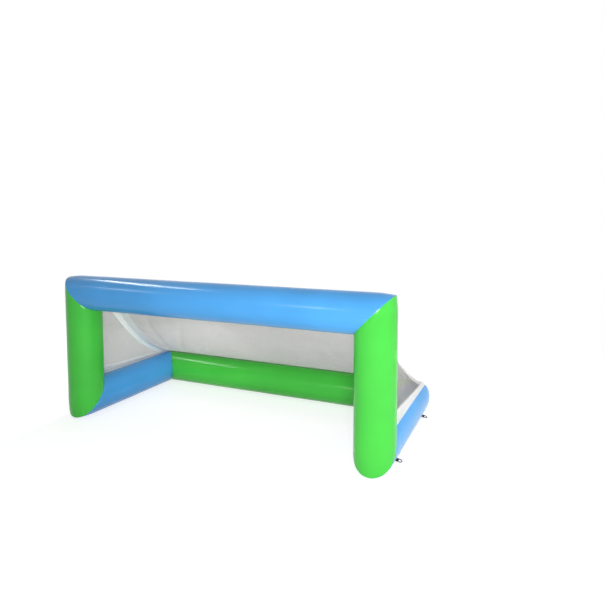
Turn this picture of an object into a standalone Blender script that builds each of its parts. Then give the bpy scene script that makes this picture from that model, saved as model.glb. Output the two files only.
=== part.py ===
"""Inflatable soccer goal: six air-filled PVC tubes welded at mitres, a mesh net in three
panels on white PVC hems, four ground anchors and a sprung inflation valve.

Metres. x runs along the crossbar, y from the mouth towards the rear bar, z up. The origin is
on the ground under the middle of the tube frame. "Right" is the right-hand side seen from in
front of the mouth, which is the +x side.
"""

import math

import bmesh
import bpy
from mathutils import Matrix, Vector

# Air frame
WIDTH = 2.38  # over the outsides of the posts
DEPTH = 1.16  # over the posts and the rear bar
HEIGHT = 1.00
TUBE_DIAMETER = 0.24
TUBE_WALL = 0.0009
TUBE_SIDES = 48  # flats, one of which faces along each axis
GAP = 0.0003  # between pieces that touch
TAPE_WIDTH = 0.050
TAPE_THICKNESS = 0.0009
TAPE_SIDES = 24

# Net and its bands. The angles are corners of the tubes' flats.
NET_THICKNESS = 0.0008
BAND_THICKNESS = 0.0009
POST_HEM_FLAP = 0.030  # how far a post's hem runs along the net from the tube
HEM_LEAVES = math.radians(33.75)  # where a ground hem leaves its tube, from the top outwards
HEM_WELD = math.radians(7.5)  # how far a hem is welded on beyond that line
CROSSBAR_LEAVES = math.radians(93.75)  # from the top of the crossbar towards its back
CROSSBAR_WELD = math.radians(22.5)
CROSSBAR_LAP = math.radians(7.5)  # how far the net runs up over the crossbar's hem
CORNER_BAND_WIDTH = 0.070
SEAM_INSET = 0.115  # from the post's axis to the seam's upper end, along the crossbar
SEAM_SAG = 0.098
SEAM_BOW = 0.040  # outwards
BACK_NET_SAG = 0.085  # in the middle of the back net
FOLD_FOOT = 0.110  # from the left seam to the back net's fold, at the rear bar
FOLD_HEAD = 0.250  # the same at the crossbar
FOLD_HALF_WIDTH = 0.070
FOLD_HEIGHT = 0.014
FACET_ROOM = 0.0006  # what the net's flat facets may cut into the room over a tube
HEM_STEP = 0.030  # between the lowest rows of facets. A ground hem covers two of them
NET_STEP = 0.020  # between the other rows of facets beside a tube
SEAM_CLEAR = 0.0025  # from the edges of nets and hems to the seam
HEM_CLEAR = 0.0030  # from the crossbar to the upper ends of the bands
RIDGE_ROOM = 0.0035  # how far the net stands off the tubes over a mitre
RIDGE_REACH = 0.035  # from the mitre to where the net lies on its tube

# Ground anchors
ANCHOR_FROM_FRONT = 0.170  # from the axis of the posts
ANCHOR_FROM_REAR = 0.020  # from the axis of the rear bar
PATCH_WIDTH = 0.050
PATCH_THICKNESS = 0.0009
PATCH_LOW = math.radians(18.75)  # from straight down, outwards
PATCH_HIGH = math.radians(56.25)
WEBBING_WIDTH = 0.025
WEBBING_THICKNESS = 0.0014
WEBBING_LEAVES = math.radians(33.75)
WEBBING_REACH = 0.0228  # from where the webbing leaves the tube to the ring's bar
RING_WIRE_RADIUS = 0.0025
RING_HALF_BAR = 0.017
RING_REACH = 0.0235
RING_CORNER = 0.004
BAR_HEIGHT = 0.0078
WRAP_STEPS = 8

# Inflation valve, on the back of the left post
VALVE_HEIGHT = 0.45
FLANGE_RADIUS = 0.030
FLANGE_THICKNESS = 0.002
BOSS_RADIUS = 0.0165
BOSS_HEIGHT = 0.010
BORE_RADIUS = 0.0130
CORE_DEPTH = 0.014
CORE_RADIUS = 0.0100
CORE_RIM_RADIUS = 0.0160
CORE_RIM = 0.0020
STEM_RADIUS = 0.0022
STEM_CLEAR = 0.0004
BUTTON_RADIUS = 0.0045
BUTTON_THICKNESS = 0.0015
BUTTON_TOP = 0.0050
SPIDER_TOP = -0.0050
SPIDER_THICKNESS = 0.0020
SPIDER_ARMS = 3
ARM_WIDTH = 0.0020
HUB_WALL = 0.0012
SEAL_RADIUS = 0.0095
SEAL_THICKNESS = 0.0020
SEAL_LAP = 0.0015  # how far the seal overlaps its seat
SPRING_RADIUS = 0.0034
SPRING_WIRE = 0.0004
SPRING_TURNS = 5
CAP_RADIUS = 0.0205
CAP_SKIRT = 0.0070  # below the core's rim
CAP_TOP = 0.0025
CAP_CLEAR = 0.0005
CAP_EDGE = 0.0015
CAP_GROOVE = 0.0010  # every other step of the cap's rim, for a grip
CAP_STEPS = 36
GASKET_THICKNESS = 0.0015
GASKET_INNER = 0.0110

TURN = 2 * math.pi
TUBE_RADIUS = TUBE_DIAMETER / 2
TUBE_CORNER_RADIUS = TUBE_RADIUS / math.cos(math.pi / TUBE_SIDES)
POST_X = WIDTH / 2 - TUBE_RADIUS
FRONT_Y = TUBE_RADIUS - DEPTH / 2
REAR_Y = DEPTH / 2 - TUBE_RADIUS
GROUND_Z = TUBE_RADIUS
CROSSBAR_Z = HEIGHT - TUBE_RADIUS
BAND_LOW = TUBE_CORNER_RADIUS + GAP
BAND_HIGH = BAND_LOW + BAND_THICKNESS
NET_RADIUS = BAND_HIGH + GAP + NET_THICKNESS / 2 + FACET_ROOM
NET_LAYER = (-NET_THICKNESS / 2, NET_THICKNESS / 2)
BAND_LAYER = (-NET_THICKNESS / 2 - GAP - BAND_THICKNESS, -NET_THICKNESS / 2 - GAP)
HEM_LAYER = (-BAND_LAYER[1], -BAND_LAYER[0])
BAND_CLEAR = TUBE_RADIUS / 15  # between ground hems and bands, which fan out over a fat tube
FLAT = TURN / TUBE_SIDES
SIDES = {"left": -1, "right": 1}


def clear_scene():
    for old in list(bpy.data.objects):
        bpy.data.objects.remove(old, do_unlink=True)


def material(name, colour, roughness, metallic=0.0):
    made = bpy.data.materials.new(name)
    made.use_nodes = True
    shader = made.node_tree.nodes["Principled BSDF"]
    shader.inputs["Base Color"].default_value = (*colour, 1.0)
    shader.inputs["Roughness"].default_value = roughness
    shader.inputs["Metallic"].default_value = metallic
    made.diffuse_color = (*colour, 1.0)
    return made


def add_object(name, mesh, finish, at=(0, 0, 0)):
    made = bpy.data.objects.new(name, mesh)
    made.data.materials.append(finish)
    made.location = at
    bpy.context.scene.collection.objects.link(made)
    return made


def mesh_of(name, points, faces):
    """A closed mesh with its faces turned outwards and its soft edges shaded smooth."""
    mesh = bpy.data.meshes.new(name)
    mesh.from_pydata([tuple(p) for p in points], [], faces)
    work = bmesh.new()
    work.from_mesh(mesh)
    bmesh.ops.recalc_face_normals(work, faces=work.faces)
    if work.calc_volume(signed=True) < 0:
        bmesh.ops.reverse_faces(work, faces=work.faces)
    work.to_mesh(mesh)
    work.free()
    mesh.shade_smooth()
    mesh.set_sharp_from_angle(angle=math.radians(30))
    return mesh


def ring_faces(rings, count):
    """Quads between each ring and the next, the last joined to the first."""
    faces = []
    for a in range(rings):
        b = (a + 1) % rings
        for i in range(count):
            j = (i + 1) % count
            faces.append((a * count + i, a * count + j, b * count + j, b * count + i))
    return faces


def lathe(name, profile, steps, at):
    """Turns a closed (radius, height) outline about +y through at."""
    points = []
    for k in range(steps):
        turn = TURN * k / steps
        for r, h in profile:
            points.append(Vector(at) + Vector((r * math.cos(turn), h, r * math.sin(turn))))
    return mesh_of(name, points, ring_faces(steps, len(profile)))


def solid_lathe(name, profile, steps, at):
    """Turns an open outline, whose ends are on the axis, about +y through at."""
    inner = profile[1:-1]
    points = []
    for k in range(steps):
        turn = TURN * k / steps
        for r, h in inner:
            points.append(Vector(at) + Vector((r * math.cos(turn), h, r * math.sin(turn))))
    first, last = len(points), len(points) + 1
    points.append(Vector(at) + Vector((0, profile[0][1], 0)))
    points.append(Vector(at) + Vector((0, profile[-1][1], 0)))
    count = len(inner)
    faces = []
    for k in range(steps):
        a, b = k * count, ((k + 1) % steps) * count
        faces += [(a + i, a + i + 1, b + i + 1, b + i) for i in range(count - 1)]
        faces.append((first, a, b))
        faces.append((last, b + count - 1, a + count - 1))
    return mesh_of(name, points, faces)


# The frame's axes: each tube has two ends, and each end has the tube it meets there.
CORNERS = {
    "front_left_foot": Vector((-POST_X, FRONT_Y, GROUND_Z)),
    "front_right_foot": Vector((POST_X, FRONT_Y, GROUND_Z)),
    "top_left": Vector((-POST_X, FRONT_Y, CROSSBAR_Z)),
    "top_right": Vector((POST_X, FRONT_Y, CROSSBAR_Z)),
    "rear_left": Vector((-POST_X, REAR_Y, GROUND_Z)),
    "rear_right": Vector((POST_X, REAR_Y, GROUND_Z)),
}
TUBES = {
    "crossbar_tube": ("top_left", "top_right"),
    "left_post_tube": ("front_left_foot", "top_left"),
    "right_post_tube": ("front_right_foot", "top_right"),
    "left_ground_tube": ("front_left_foot", "rear_left"),
    "right_ground_tube": ("front_right_foot", "rear_right"),
    "rear_ground_tube": ("rear_left", "rear_right"),
}


def away(tube, corner):
    """The direction in which a tube leaves one of its corners."""
    start, end = TUBES[tube]
    other = end if corner == start else start
    return (CORNERS[other] - CORNERS[corner]).normalized()


def tubes_at(corner):
    return [tube for tube, ends in TUBES.items() if corner in ends]


def mitre_normal(tube, corner):
    """The normal of the mitre plane at a corner, pointing into the tube."""
    (neighbour,) = [t for t in tubes_at(corner) if t != tube]
    return (away(tube, corner) - away(neighbour, corner)).normalized()


def frame_across(direction):
    """Two directions across a tube, each along one of the main axes."""
    u = Vector((0, 0, 1)) if abs(direction.z) < 0.5 else Vector((1, 0, 0))
    return u, direction.cross(u)


def section(direction, radius, sides):
    """Offsets from the axis to the corners of a tube's section, flats facing the axes."""
    u, v = frame_across(direction)
    turns = [TURN * (k + 0.5) / sides for k in range(sides)]
    return [radius * (math.cos(t) * u + math.sin(t) * v) for t in turns]


def on_plane(point, direction, plane_point, normal):
    """Where the line from point along direction meets a plane."""
    return point + direction * ((plane_point - point).dot(normal) / direction.dot(normal))


def tube_mesh(tube):
    """An open-ended hollow tube, cut off at the mitre planes half a gap short."""
    start, end = TUBES[tube]
    direction = away(tube, start)
    outer = TUBE_CORNER_RADIUS
    inner = outer - TUBE_WALL / math.cos(math.pi / TUBE_SIDES)
    points = []
    for radius, corner in ((outer, start), (outer, end), (inner, end), (inner, start)):
        normal = mitre_normal(tube, corner)
        plane_point = CORNERS[corner] + normal * GAP / 2
        for offset in section(direction, radius, TUBE_SIDES):
            points.append(on_plane(CORNERS[start] + offset, direction, plane_point, normal))
    return mesh_of(tube, points, ring_faces(4, TUBE_SIDES))


def tape_mesh(name, corner):
    """A band welded inside a mitre, half its width on each tube."""
    first, second = tubes_at(corner)
    outer = TUBE_RADIUS - TUBE_WALL - GAP
    rings = [[], [], [], [], [], []]
    one_way, other_way = away(first, corner), away(second, corner)
    normal = mitre_normal(first, corner)
    for layer, radius in ((0, outer), (1, outer - TAPE_THICKNESS)):
        for offset in section(one_way, radius, TAPE_SIDES):
            middle = on_plane(CORNERS[corner] + offset, one_way, CORNERS[corner], normal)
            line = [middle + way * TAPE_WIDTH / 2 for way in (one_way, 0 * one_way, other_way)]
            for k, point in enumerate(line):
                rings[5 - k if layer else k].append(point)
    return mesh_of(name, [p for ring in rings for p in ring], ring_faces(6, TAPE_SIDES))


def on_ground_tube(angle, y, radius):
    """On the right ground tube, at an angle from its top outwards."""
    return Vector((POST_X + radius * math.sin(angle), y, GROUND_Z + radius * math.cos(angle)))


def on_post(angle, z, radius):
    """On the right post, at an angle from its back outwards."""
    return Vector((POST_X + radius * math.sin(angle), FRONT_Y + radius * math.cos(angle), z))


def on_crossbar(angle, x, radius):
    """On the crossbar, at an angle from its top towards its back."""
    return Vector((x, FRONT_Y + radius * math.sin(angle), CROSSBAR_Z + radius * math.cos(angle)))


def on_rear_tube(angle, x, radius):
    """On the rear tube, at an angle from its top towards its back."""
    return Vector((x, REAR_Y + radius * math.sin(angle), GROUND_Z + radius * math.cos(angle)))


def clear_of_tubes(point):
    """Moves a point of the net that would be inside a tube out to where the net lies on it."""
    for tube, (start, end) in TUBES.items():
        if any((point - CORNERS[c]).dot(mitre_normal(tube, c)) < 0 for c in (start, end)):
            continue
        direction = away(tube, start)
        from_start = point - CORNERS[start]
        across = from_start - direction * from_start.dot(direction)
        to_mitre = min((point - CORNERS[c]).dot(mitre_normal(tube, c)) for c in (start, end))
        radius = NET_RADIUS + RIDGE_ROOM * max(0.0, 1 - to_mitre / RIDGE_REACH)
        if 0 < across.length < radius:
            point = point + across * (radius / across.length - 1)
    return point


def post_line(b, radius=NET_RADIUS, beyond=0.0):
    """The line where the side net leaves the right post, from the foot, 0, to the crossbar, 1.
    It starts above the ground hem and winds to the back of the post as it rises."""
    foot_z = GROUND_Z + NET_RADIUS * math.cos(HEM_LEAVES)
    top_z = CROSSBAR_Z + NET_RADIUS * math.cos(CROSSBAR_LEAVES)
    top_angle = math.pi / 2 - CROSSBAR_LEAVES
    angle = HEM_LEAVES + (top_angle - HEM_LEAVES) * b + beyond
    return on_post(angle, foot_z + (top_z - foot_z) * b, radius)


FOOT_LINE = post_line(0)
TOP_CORNER = post_line(1)
SEAM_TOP = Vector((POST_X - SEAM_INSET, TOP_CORNER.y, TOP_CORNER.z))
SEAM_FOOT = on_ground_tube(HEM_LEAVES, REAR_Y + NET_RADIUS * math.sin(HEM_LEAVES), NET_RADIUS)


def seam(t):
    """The sagging seam between back net and right side net, from the crossbar, 0, down to
    the rear corner, 1."""
    hang = 4 * t * (1 - t)
    return SEAM_TOP.lerp(SEAM_FOOT, t) + Vector((SEAM_BOW * hang, 0, -SEAM_SAG * hang))


def side_sheet(a, b):
    """The right side net's middle surface. a runs from the post, 0, to the seam, 1, and b
    from the ground tube, 0, to the crossbar, 1."""
    return clear_of_tubes(post_line(b).lerp(seam(1 - b), a))


def back_sheet(a, b):
    """The back net's middle surface. a runs from the left seam, 0, to the right seam, 1, and
    b from the rear tube, 0, to the crossbar, 1."""
    right = seam(1 - b)
    lift = (SEAM_SAG - BACK_NET_SAG) * 4 * b * (1 - b) * 4 * a * (1 - a)
    return clear_of_tubes(Vector((right.x * (2 * a - 1), right.y, right.z + lift)))


def shares(length, first, last, middle):
    """Places along a line as shares of its length: steps at its start and end, and evenly
    spaced places between them."""
    starts = [sum(first[:k]) for k in range(len(first) + 1)]
    ends = [length - sum(last[k:]) for k in range(len(last) + 1)]
    between = [starts[-1] + (ends[0] - starts[-1]) * k / middle for k in range(1, middle)]
    return [d / length for d in starts + between + ends]


HEM_ROWS = 3
BAND_COLUMNS = 4
BAND_STEPS = [CORNER_BAND_WIDTH / 4, CORNER_BAND_WIDTH / 4 - SEAM_CLEAR, SEAM_CLEAR]
POST_STEPS = [POST_HEM_FLAP / 2] * 2
OVER_TUBE = [0.03] * 3  # beside the bands, where the back net runs over the ground tubes
OVER_FOLD = [0.035] * 4
NET_ROWS = dict(
    first=[HEM_STEP, HEM_STEP, BAND_CLEAR, NET_STEP - BAND_CLEAR, NET_STEP, NET_STEP],
    last=[NET_STEP, NET_STEP, NET_STEP, HEM_CLEAR],
    middle=8,
)
SIDE_COLUMNS = dict(first=POST_STEPS, last=BAND_STEPS, middle=6)
BACK_COLUMNS = dict(
    first=BAND_STEPS[::-1] + OVER_TUBE + OVER_FOLD, last=OVER_TUBE + BAND_STEPS, middle=8
)


def sheet_length(sheet, a=None, b=None):
    """The length of a sheet's line at constant a or constant b."""
    steps = [k / 40 for k in range(41)]
    line = [sheet(a, s) if b is None else sheet(s, b) for s in steps]
    return sum((q - p).length for p, q in zip(line, line[1:]))


def sheet_grid(sheet, columns):
    """Points of a sheet in columns of rows. The rows and columns near its edges keep the same
    distance from them all along."""
    column_lengths = [sheet_length(sheet, b=k / 8) for k in range(9)]
    row_lengths = [sheet_length(sheet, a=k / 8) for k in range(9)]

    def read(table, share):
        k = min(int(share * 8), 7)
        return table[k] + (table[k + 1] - table[k]) * (share * 8 - k)

    across = len(shares(1.0, **columns))
    up = len(shares(1.0, **NET_ROWS))
    grid = []
    for i in range(across):
        column = []
        for j in range(up):
            a, b = i / (across - 1), j / (up - 1)
            for _ in range(8):
                a = shares(read(column_lengths, b), **columns)[i]
                b = shares(read(row_lengths, a), **NET_ROWS)[j]
            column.append(sheet(a, b))
        grid.append(column)
    return grid


def folded(grid):
    """The back net's grid with the fold that runs up from its left rear corner."""
    rows = len(grid[0])
    made = []
    for column in grid:
        line = []
        for j, point in enumerate(column):
            b = j / (rows - 1)
            fold = FOLD_FOOT + (FOLD_HEAD - FOLD_FOOT) * b
            off = min(abs((point - grid[0][j]).length - fold) / FOLD_HALF_WIDTH, 1.0)
            lift = FOLD_HEIGHT * 4 * b * (1 - b) * (1 + math.cos(math.pi * off)) / 2
            line.append(point + Vector((0, 0, lift)))
        made.append(line)
    return made


def normals_of(grid, outward):
    """A unit normal at each point of a grid, all on its outward, 1, or inward, -1, side."""
    made = []
    for i, column in enumerate(grid):
        line = []
        for j in range(len(column)):
            along = grid[min(i + 1, len(grid) - 1)][j] - grid[max(i - 1, 0)][j]
            up = column[min(j + 1, len(column) - 1)] - column[max(j - 1, 0)]
            line.append(along.cross(up).normalized() * outward)
        made.append(line)
    return made


def outer_rear(point):
    """How far a point is towards the rear corners. Layers that lie on each other split their
    twisted quads alike by it."""
    return point.y + abs(point.x) / 3


def layer_mesh(name, grid, normals, layer, side=1):
    """A closed sheet between two offsets from a grid's surface, mirrored for side -1."""
    columns, rows = len(grid), len(grid[0])
    points = []
    for offset in layer:
        for column, lines in zip(grid, normals):
            for point, normal in zip(column, lines):
                p = point + normal * offset
                points.append((p.x * side, p.y, p.z))
    top = columns * rows

    def at(i, j):
        return i * rows + j

    faces = []
    for i in range(columns - 1):
        for j in range(rows - 1):
            a, b, c, d = at(i, j), at(i + 1, j), at(i + 1, j + 1), at(i, j + 1)
            split = ((a, b, c), (a, c, d))
            if outer_rear(grid[i + 1][j]) > outer_rear(grid[i][j]):
                split = ((a, b, d), (b, c, d))
            for face in split:
                faces.append(face)
                faces.append(tuple(top + k for k in reversed(face)))
    edge = [at(i, 0) for i in range(columns)] + [at(columns - 1, j) for j in range(1, rows)]
    edge += [at(i, rows - 1) for i in range(columns - 2, -1, -1)]
    edge += [at(0, j) for j in range(rows - 2, 0, -1)]
    for a, b in zip(edge, edge[1:] + edge[:1]):
        faces.append((b, a, top + a, top + b))
    return mesh_of(name, points, faces)


def add_row(grid, normals, place, centre, at_end=True):
    """Adds a row on a tube to each column: place gives its point, centre the tube's axis."""
    for column, lines in zip(grid, normals):
        edge = column[-1] if at_end else column[0]
        point = place(edge)
        normal = (point - centre(point)).normalized()
        column.insert(len(column) if at_end else 0, point)
        lines.insert(len(lines) if at_end else 0, normal)


def crossbar_axis(point):
    return Vector((point.x, FRONT_Y, CROSSBAR_Z))


def ground_axis(point):
    return Vector((POST_X, point.y, GROUND_Z))


def post_axis(point):
    return Vector((POST_X, FRONT_Y, point.z))


def rear_axis(point):
    return Vector((point.x, REAR_Y, GROUND_Z))


SIDE_GRID = sheet_grid(side_sheet, SIDE_COLUMNS)
BACK_GRID = folded(sheet_grid(back_sheet, BACK_COLUMNS))
SIDE_NORMALS = normals_of(SIDE_GRID, 1)
BACK_NORMALS = normals_of(BACK_GRID, -1)
WELD_RADIUS = BAND_LOW - HEM_LAYER[0]  # of a hem's surface, so that its layer is on the tube


def part_of(grid, normals, columns=slice(None), rows=slice(None)):
    return (
        [list(column[rows]) for column in grid[columns]],
        [list(line[rows]) for line in normals[columns]],
    )


def add_sheet(name, grid, normals, layer, finish, mirrored=True):
    """A net, hem or band. A mirrored one is made for the left side and the right side."""
    for side, sign in SIDES.items() if mirrored else [("", 1)]:
        full = f"{side}_{name}" if side else name
        add_object(full, layer_mesh(full, grid, normals, layer, sign), finish)


def add_nets(finish):
    """Each net runs a step up over the crossbar's hem, and ends just short of the seams."""
    lap = CROSSBAR_LEAVES - CROSSBAR_LAP
    side = part_of(SIDE_GRID, SIDE_NORMALS, columns=slice(0, -1))
    back = part_of(BACK_GRID, BACK_NORMALS, columns=slice(1, -1))
    for grid, normals in (side, back):
        add_row(grid, normals, lambda p: on_crossbar(lap, p.x, NET_RADIUS), crossbar_axis)
    add_sheet("side_net", *side, NET_LAYER, finish)
    add_sheet("back_net", *back, NET_LAYER, finish, mirrored=False)


def add_ground_hems(finish):
    """Strips from a weld on each ground tube up over the outside of the nets' lowest rows."""
    weld = HEM_LEAVES + HEM_WELD
    rows = slice(0, HEM_ROWS)
    side = part_of(SIDE_GRID, SIDE_NORMALS, slice(0, -1), rows)
    add_row(*side, lambda p: on_ground_tube(weld, p.y, WELD_RADIUS), ground_axis, False)
    add_sheet("ground_hem", *side, HEM_LAYER, finish)
    back = part_of(BACK_GRID, BACK_NORMALS, slice(1, -1), rows)
    add_row(*back, lambda p: on_rear_tube(weld, p.x, WELD_RADIUS), rear_axis, False)
    add_sheet("rear_ground_hem", *back, HEM_LAYER, finish, mirrored=False)


def add_post_hems(finish):
    grid, normals = part_of(SIDE_GRID, SIDE_NORMALS, slice(0, HEM_ROWS), slice(HEM_ROWS, -1))
    rise = TOP_CORNER.z - FOOT_LINE.z
    radius = WELD_RADIUS + FACET_ROOM
    edge = [post_line((p.z - FOOT_LINE.z) / rise, radius, HEM_WELD) for p in grid[0]]
    grid.insert(0, edge)
    normals.insert(0, [(p - post_axis(p)).normalized() for p in edge])
    add_sheet("post_hem", grid, normals, HEM_LAYER, finish)


def add_crossbar_hem(finish):
    """A strip on the crossbar's back, along one flat after another."""
    angles = [CROSSBAR_LEAVES - FLAT * k for k in range(round(CROSSBAR_WELD / FLAT) + 1)]
    reach = TOP_CORNER.x - HEM_CLEAR
    grid = [[on_crossbar(t, x, BAND_LOW) for t in angles] for x in (-reach, reach)]
    normals = [[(p - crossbar_axis(p)).normalized() for p in column] for column in grid]
    layer = (0, BAND_THICKNESS)
    add_sheet("crossbar_hem", grid, normals, layer, finish, mirrored=False)


def add_corner_bands(finish):
    """Strips inside the seams, folded along them, from the hems up to the crossbar."""
    columns, rows = slice(-BAND_COLUMNS, None), slice(HEM_ROWS, -1)
    side_grid, side_normals = part_of(SIDE_GRID, SIDE_NORMALS, columns, rows)
    back_grid, back_normals = part_of(BACK_GRID, BACK_NORMALS, columns, rows)
    fold = [(n + m) / (1 + n.dot(m)) for n, m in zip(side_normals[-1], back_normals[-1])]
    grid = side_grid + back_grid[-2::-1]
    normals = side_normals[:-1] + [fold] + back_normals[-2::-1]
    add_sheet("corner_band", grid, normals, BAND_LAYER, finish)


def prism_mesh(name, outline, y_low, y_high, side):
    """An outline of (out, z) points, out being outwards from the ground tube's axis."""
    points = [(side * (POST_X + u), y, z) for y in (y_low, y_high) for u, z in outline]
    n = len(outline)
    faces = [(k, (k + 1) % n, n + (k + 1) % n, n + k) for k in range(n)]
    faces += [tuple(range(n)), tuple(range(2 * n - 1, n - 1, -1))]
    return mesh_of(name, points, faces)


def on_foot(angle, radius):
    """(out, z) on a ground tube, at an angle from straight down outwards."""
    return Vector((radius * math.sin(angle), GROUND_Z - radius * math.cos(angle)))


def thick_line(line, thickness):
    """The outline of a line of 2-D points with a thickness."""
    steps = [(q - p).normalized() for p, q in zip(line, line[1:])]
    left, right = [], []
    for point, before, after in zip(line, steps[:1] + steps, steps + steps[-1:]):
        across = Vector((-before.y - after.y, before.x + after.x)).normalized()
        reach = across * thickness / 2 / across.dot(Vector((-before.y, before.x)))
        left.append(point + reach)
        right.append(point - reach)
    return left + right[::-1]


def ring_centre():
    """(out, z) of the bar of an anchor's ring."""
    leave = on_foot(WEBBING_LEAVES, TUBE_CORNER_RADIUS)
    return Vector((leave.x + WEBBING_REACH, BAR_HEIGHT))


def webbing_line():
    """The webbing's middle line: down the patch, out and round the ring's bar, and back."""
    radius = TUBE_CORNER_RADIUS + GAP + PATCH_THICKNESS + GAP + WEBBING_THICKNESS / 2
    wrap = RING_WIRE_RADIUS + GAP + WEBBING_THICKNESS / 2
    centre = ring_centre()
    upper = [on_foot(WEBBING_LEAVES + FLAT * k, radius) for k in (2, 1, 0)]
    lower = [on_foot(WEBBING_LEAVES - FLAT * k, radius) for k in (1, 2)]
    ends = []
    for leg, sense in ((upper[-1], 1), (lower[0], -1)):
        back = leg - centre
        ends.append(math.atan2(back.y, back.x) - sense * math.acos(wrap / back.length))
    first, last = ends
    last -= TURN if last > first else 0.0
    turns = [first + (last - first) * k / WRAP_STEPS for k in range(WRAP_STEPS + 1)]
    wrapped = [centre + wrap * Vector((math.cos(t), math.sin(t))) for t in turns]
    return [*upper, *wrapped, *lower]


def ring_outline():
    """The D-ring's middle line as (out from the bar, along the bar) points."""
    straight = RING_HALF_BAR - RING_CORNER
    points = [(0.0, -straight), (0.0, straight)]
    corner = [(k / 3) * math.pi / 2 for k in range(1, 4)]
    points += [
        (RING_CORNER * (1 - math.cos(t)), straight + RING_CORNER * math.sin(t)) for t in corner
    ]
    reach = RING_REACH - RING_CORNER
    bend = [(k / 8) * math.pi for k in range(1, 8)]
    points += [
        (RING_CORNER + reach * math.sin(t), RING_HALF_BAR * math.cos(t)) for t in bend
    ]
    points += [(u, -v) for u, v in reversed(points[2:5])]
    return points


def add_ring(name, side, y, finish):
    """A D-ring whose object turns about its bar. It lies with its round end on the ground."""
    centre = ring_centre()
    tilt = math.asin((BAR_HEIGHT - RING_WIRE_RADIUS - GAP) / RING_REACH)
    curve = bpy.data.curves.new(name, "CURVE")
    curve.dimensions = "3D"
    curve.bevel_depth = RING_WIRE_RADIUS
    curve.bevel_resolution = 1
    spline = curve.splines.new("POLY")
    outline = ring_outline()
    spline.points.add(len(outline) - 1)
    for point, (u, v) in zip(spline.points, outline):
        point.co = (side * u * math.cos(tilt), v, -u * math.sin(tilt), 1)
    spline.use_cyclic_u = True
    add_object(name, curve, finish, (side * (POST_X + centre.x), y, centre.y))


def add_anchors(patch_finish, webbing_finish, ring_finish):
    angles = [PATCH_LOW + FLAT * k for k in range(round((PATCH_HIGH - PATCH_LOW) / FLAT) + 1)]
    inner = [on_foot(t, TUBE_CORNER_RADIUS + GAP) for t in angles]
    outer = [on_foot(t, TUBE_CORNER_RADIUS + GAP + PATCH_THICKNESS) for t in angles]
    patch = inner + outer[::-1]
    webbing = thick_line(webbing_line(), WEBBING_THICKNESS)
    places = {"front": FRONT_Y + ANCHOR_FROM_FRONT, "rear": REAR_Y - ANCHOR_FROM_REAR}
    for side, sign in SIDES.items():
        for end, y in places.items():
            name = f"{side}_{end}_anchor"
            reach = PATCH_WIDTH / 2
            mesh = prism_mesh(f"{name}_patch", patch, y - reach, y + reach, sign)
            add_object(f"{name}_patch", mesh, patch_finish)
            reach = WEBBING_WIDTH / 2
            mesh = prism_mesh(f"{name}_loop", webbing, y - reach, y + reach, sign)
            add_object(f"{name}_loop", mesh, webbing_finish)
            add_ring(f"{name}_ring", sign, y, ring_finish)


VALVE_AT = (-POST_X, FRONT_Y + TUBE_RADIUS, VALVE_HEIGHT)


def cutter(name, mesh):
    """A solid that only cuts another one."""
    made = bpy.data.objects.new(name, mesh)
    made.hide_render = True
    made.display_type = "WIRE"
    bpy.context.scene.collection.objects.link(made)
    return made


def boolean(target, operation, other):
    modifier = target.modifiers.new(other.name, "BOOLEAN")
    modifier.operation = operation
    modifier.object = other


def upright_cylinder(name, radius, height, at):
    """A cylinder about +z whose flats are a tube's."""
    mesh = bpy.data.meshes.new(name)
    work = bmesh.new()
    bmesh.ops.create_cone(
        work,
        cap_ends=True,
        segments=TUBE_SIDES,
        radius1=radius,
        radius2=radius,
        depth=height,
        matrix=Matrix.Translation(at) @ Matrix.Rotation(math.pi / TUBE_SIDES, 4, "Z"),
    )
    work.to_mesh(mesh)
    work.free()
    return mesh


def add_valve_base(post, finish):
    """A soft flange welded round a hole in the post, with a boss for the core and the cap."""
    sink = FLANGE_THICKNESS + TUBE_RADIUS - math.sqrt(TUBE_RADIUS**2 - FLANGE_RADIUS**2)
    profile = [
        (BORE_RADIUS, -sink),
        (FLANGE_RADIUS, -sink),
        (FLANGE_RADIUS, FLANGE_THICKNESS / 2),
        (FLANGE_RADIUS - FLANGE_THICKNESS / 2, FLANGE_THICKNESS),
        (BOSS_RADIUS, FLANGE_THICKNESS),
        (BOSS_RADIUS, BOSS_HEIGHT),
        (BORE_RADIUS, BOSS_HEIGHT),
    ]
    base = add_object("valve_base", lathe("valve_base", profile, 32, VALVE_AT), finish)
    middle = (-POST_X, FRONT_Y, VALVE_HEIGHT)
    post_space = upright_cylinder("post_space", TUBE_CORNER_RADIUS + GAP, 4 * FLANGE_RADIUS, middle)
    boolean(base, "DIFFERENCE", cutter("post_space", post_space))
    hole = [
        (0, -2 * sink),
        (BORE_RADIUS + GAP, -2 * sink),
        (BORE_RADIUS + GAP, sink),
        (0, sink),
    ]
    boolean(post, "DIFFERENCE", cutter("valve_hole", solid_lathe("valve_hole", hole, 32, VALVE_AT)))


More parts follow.
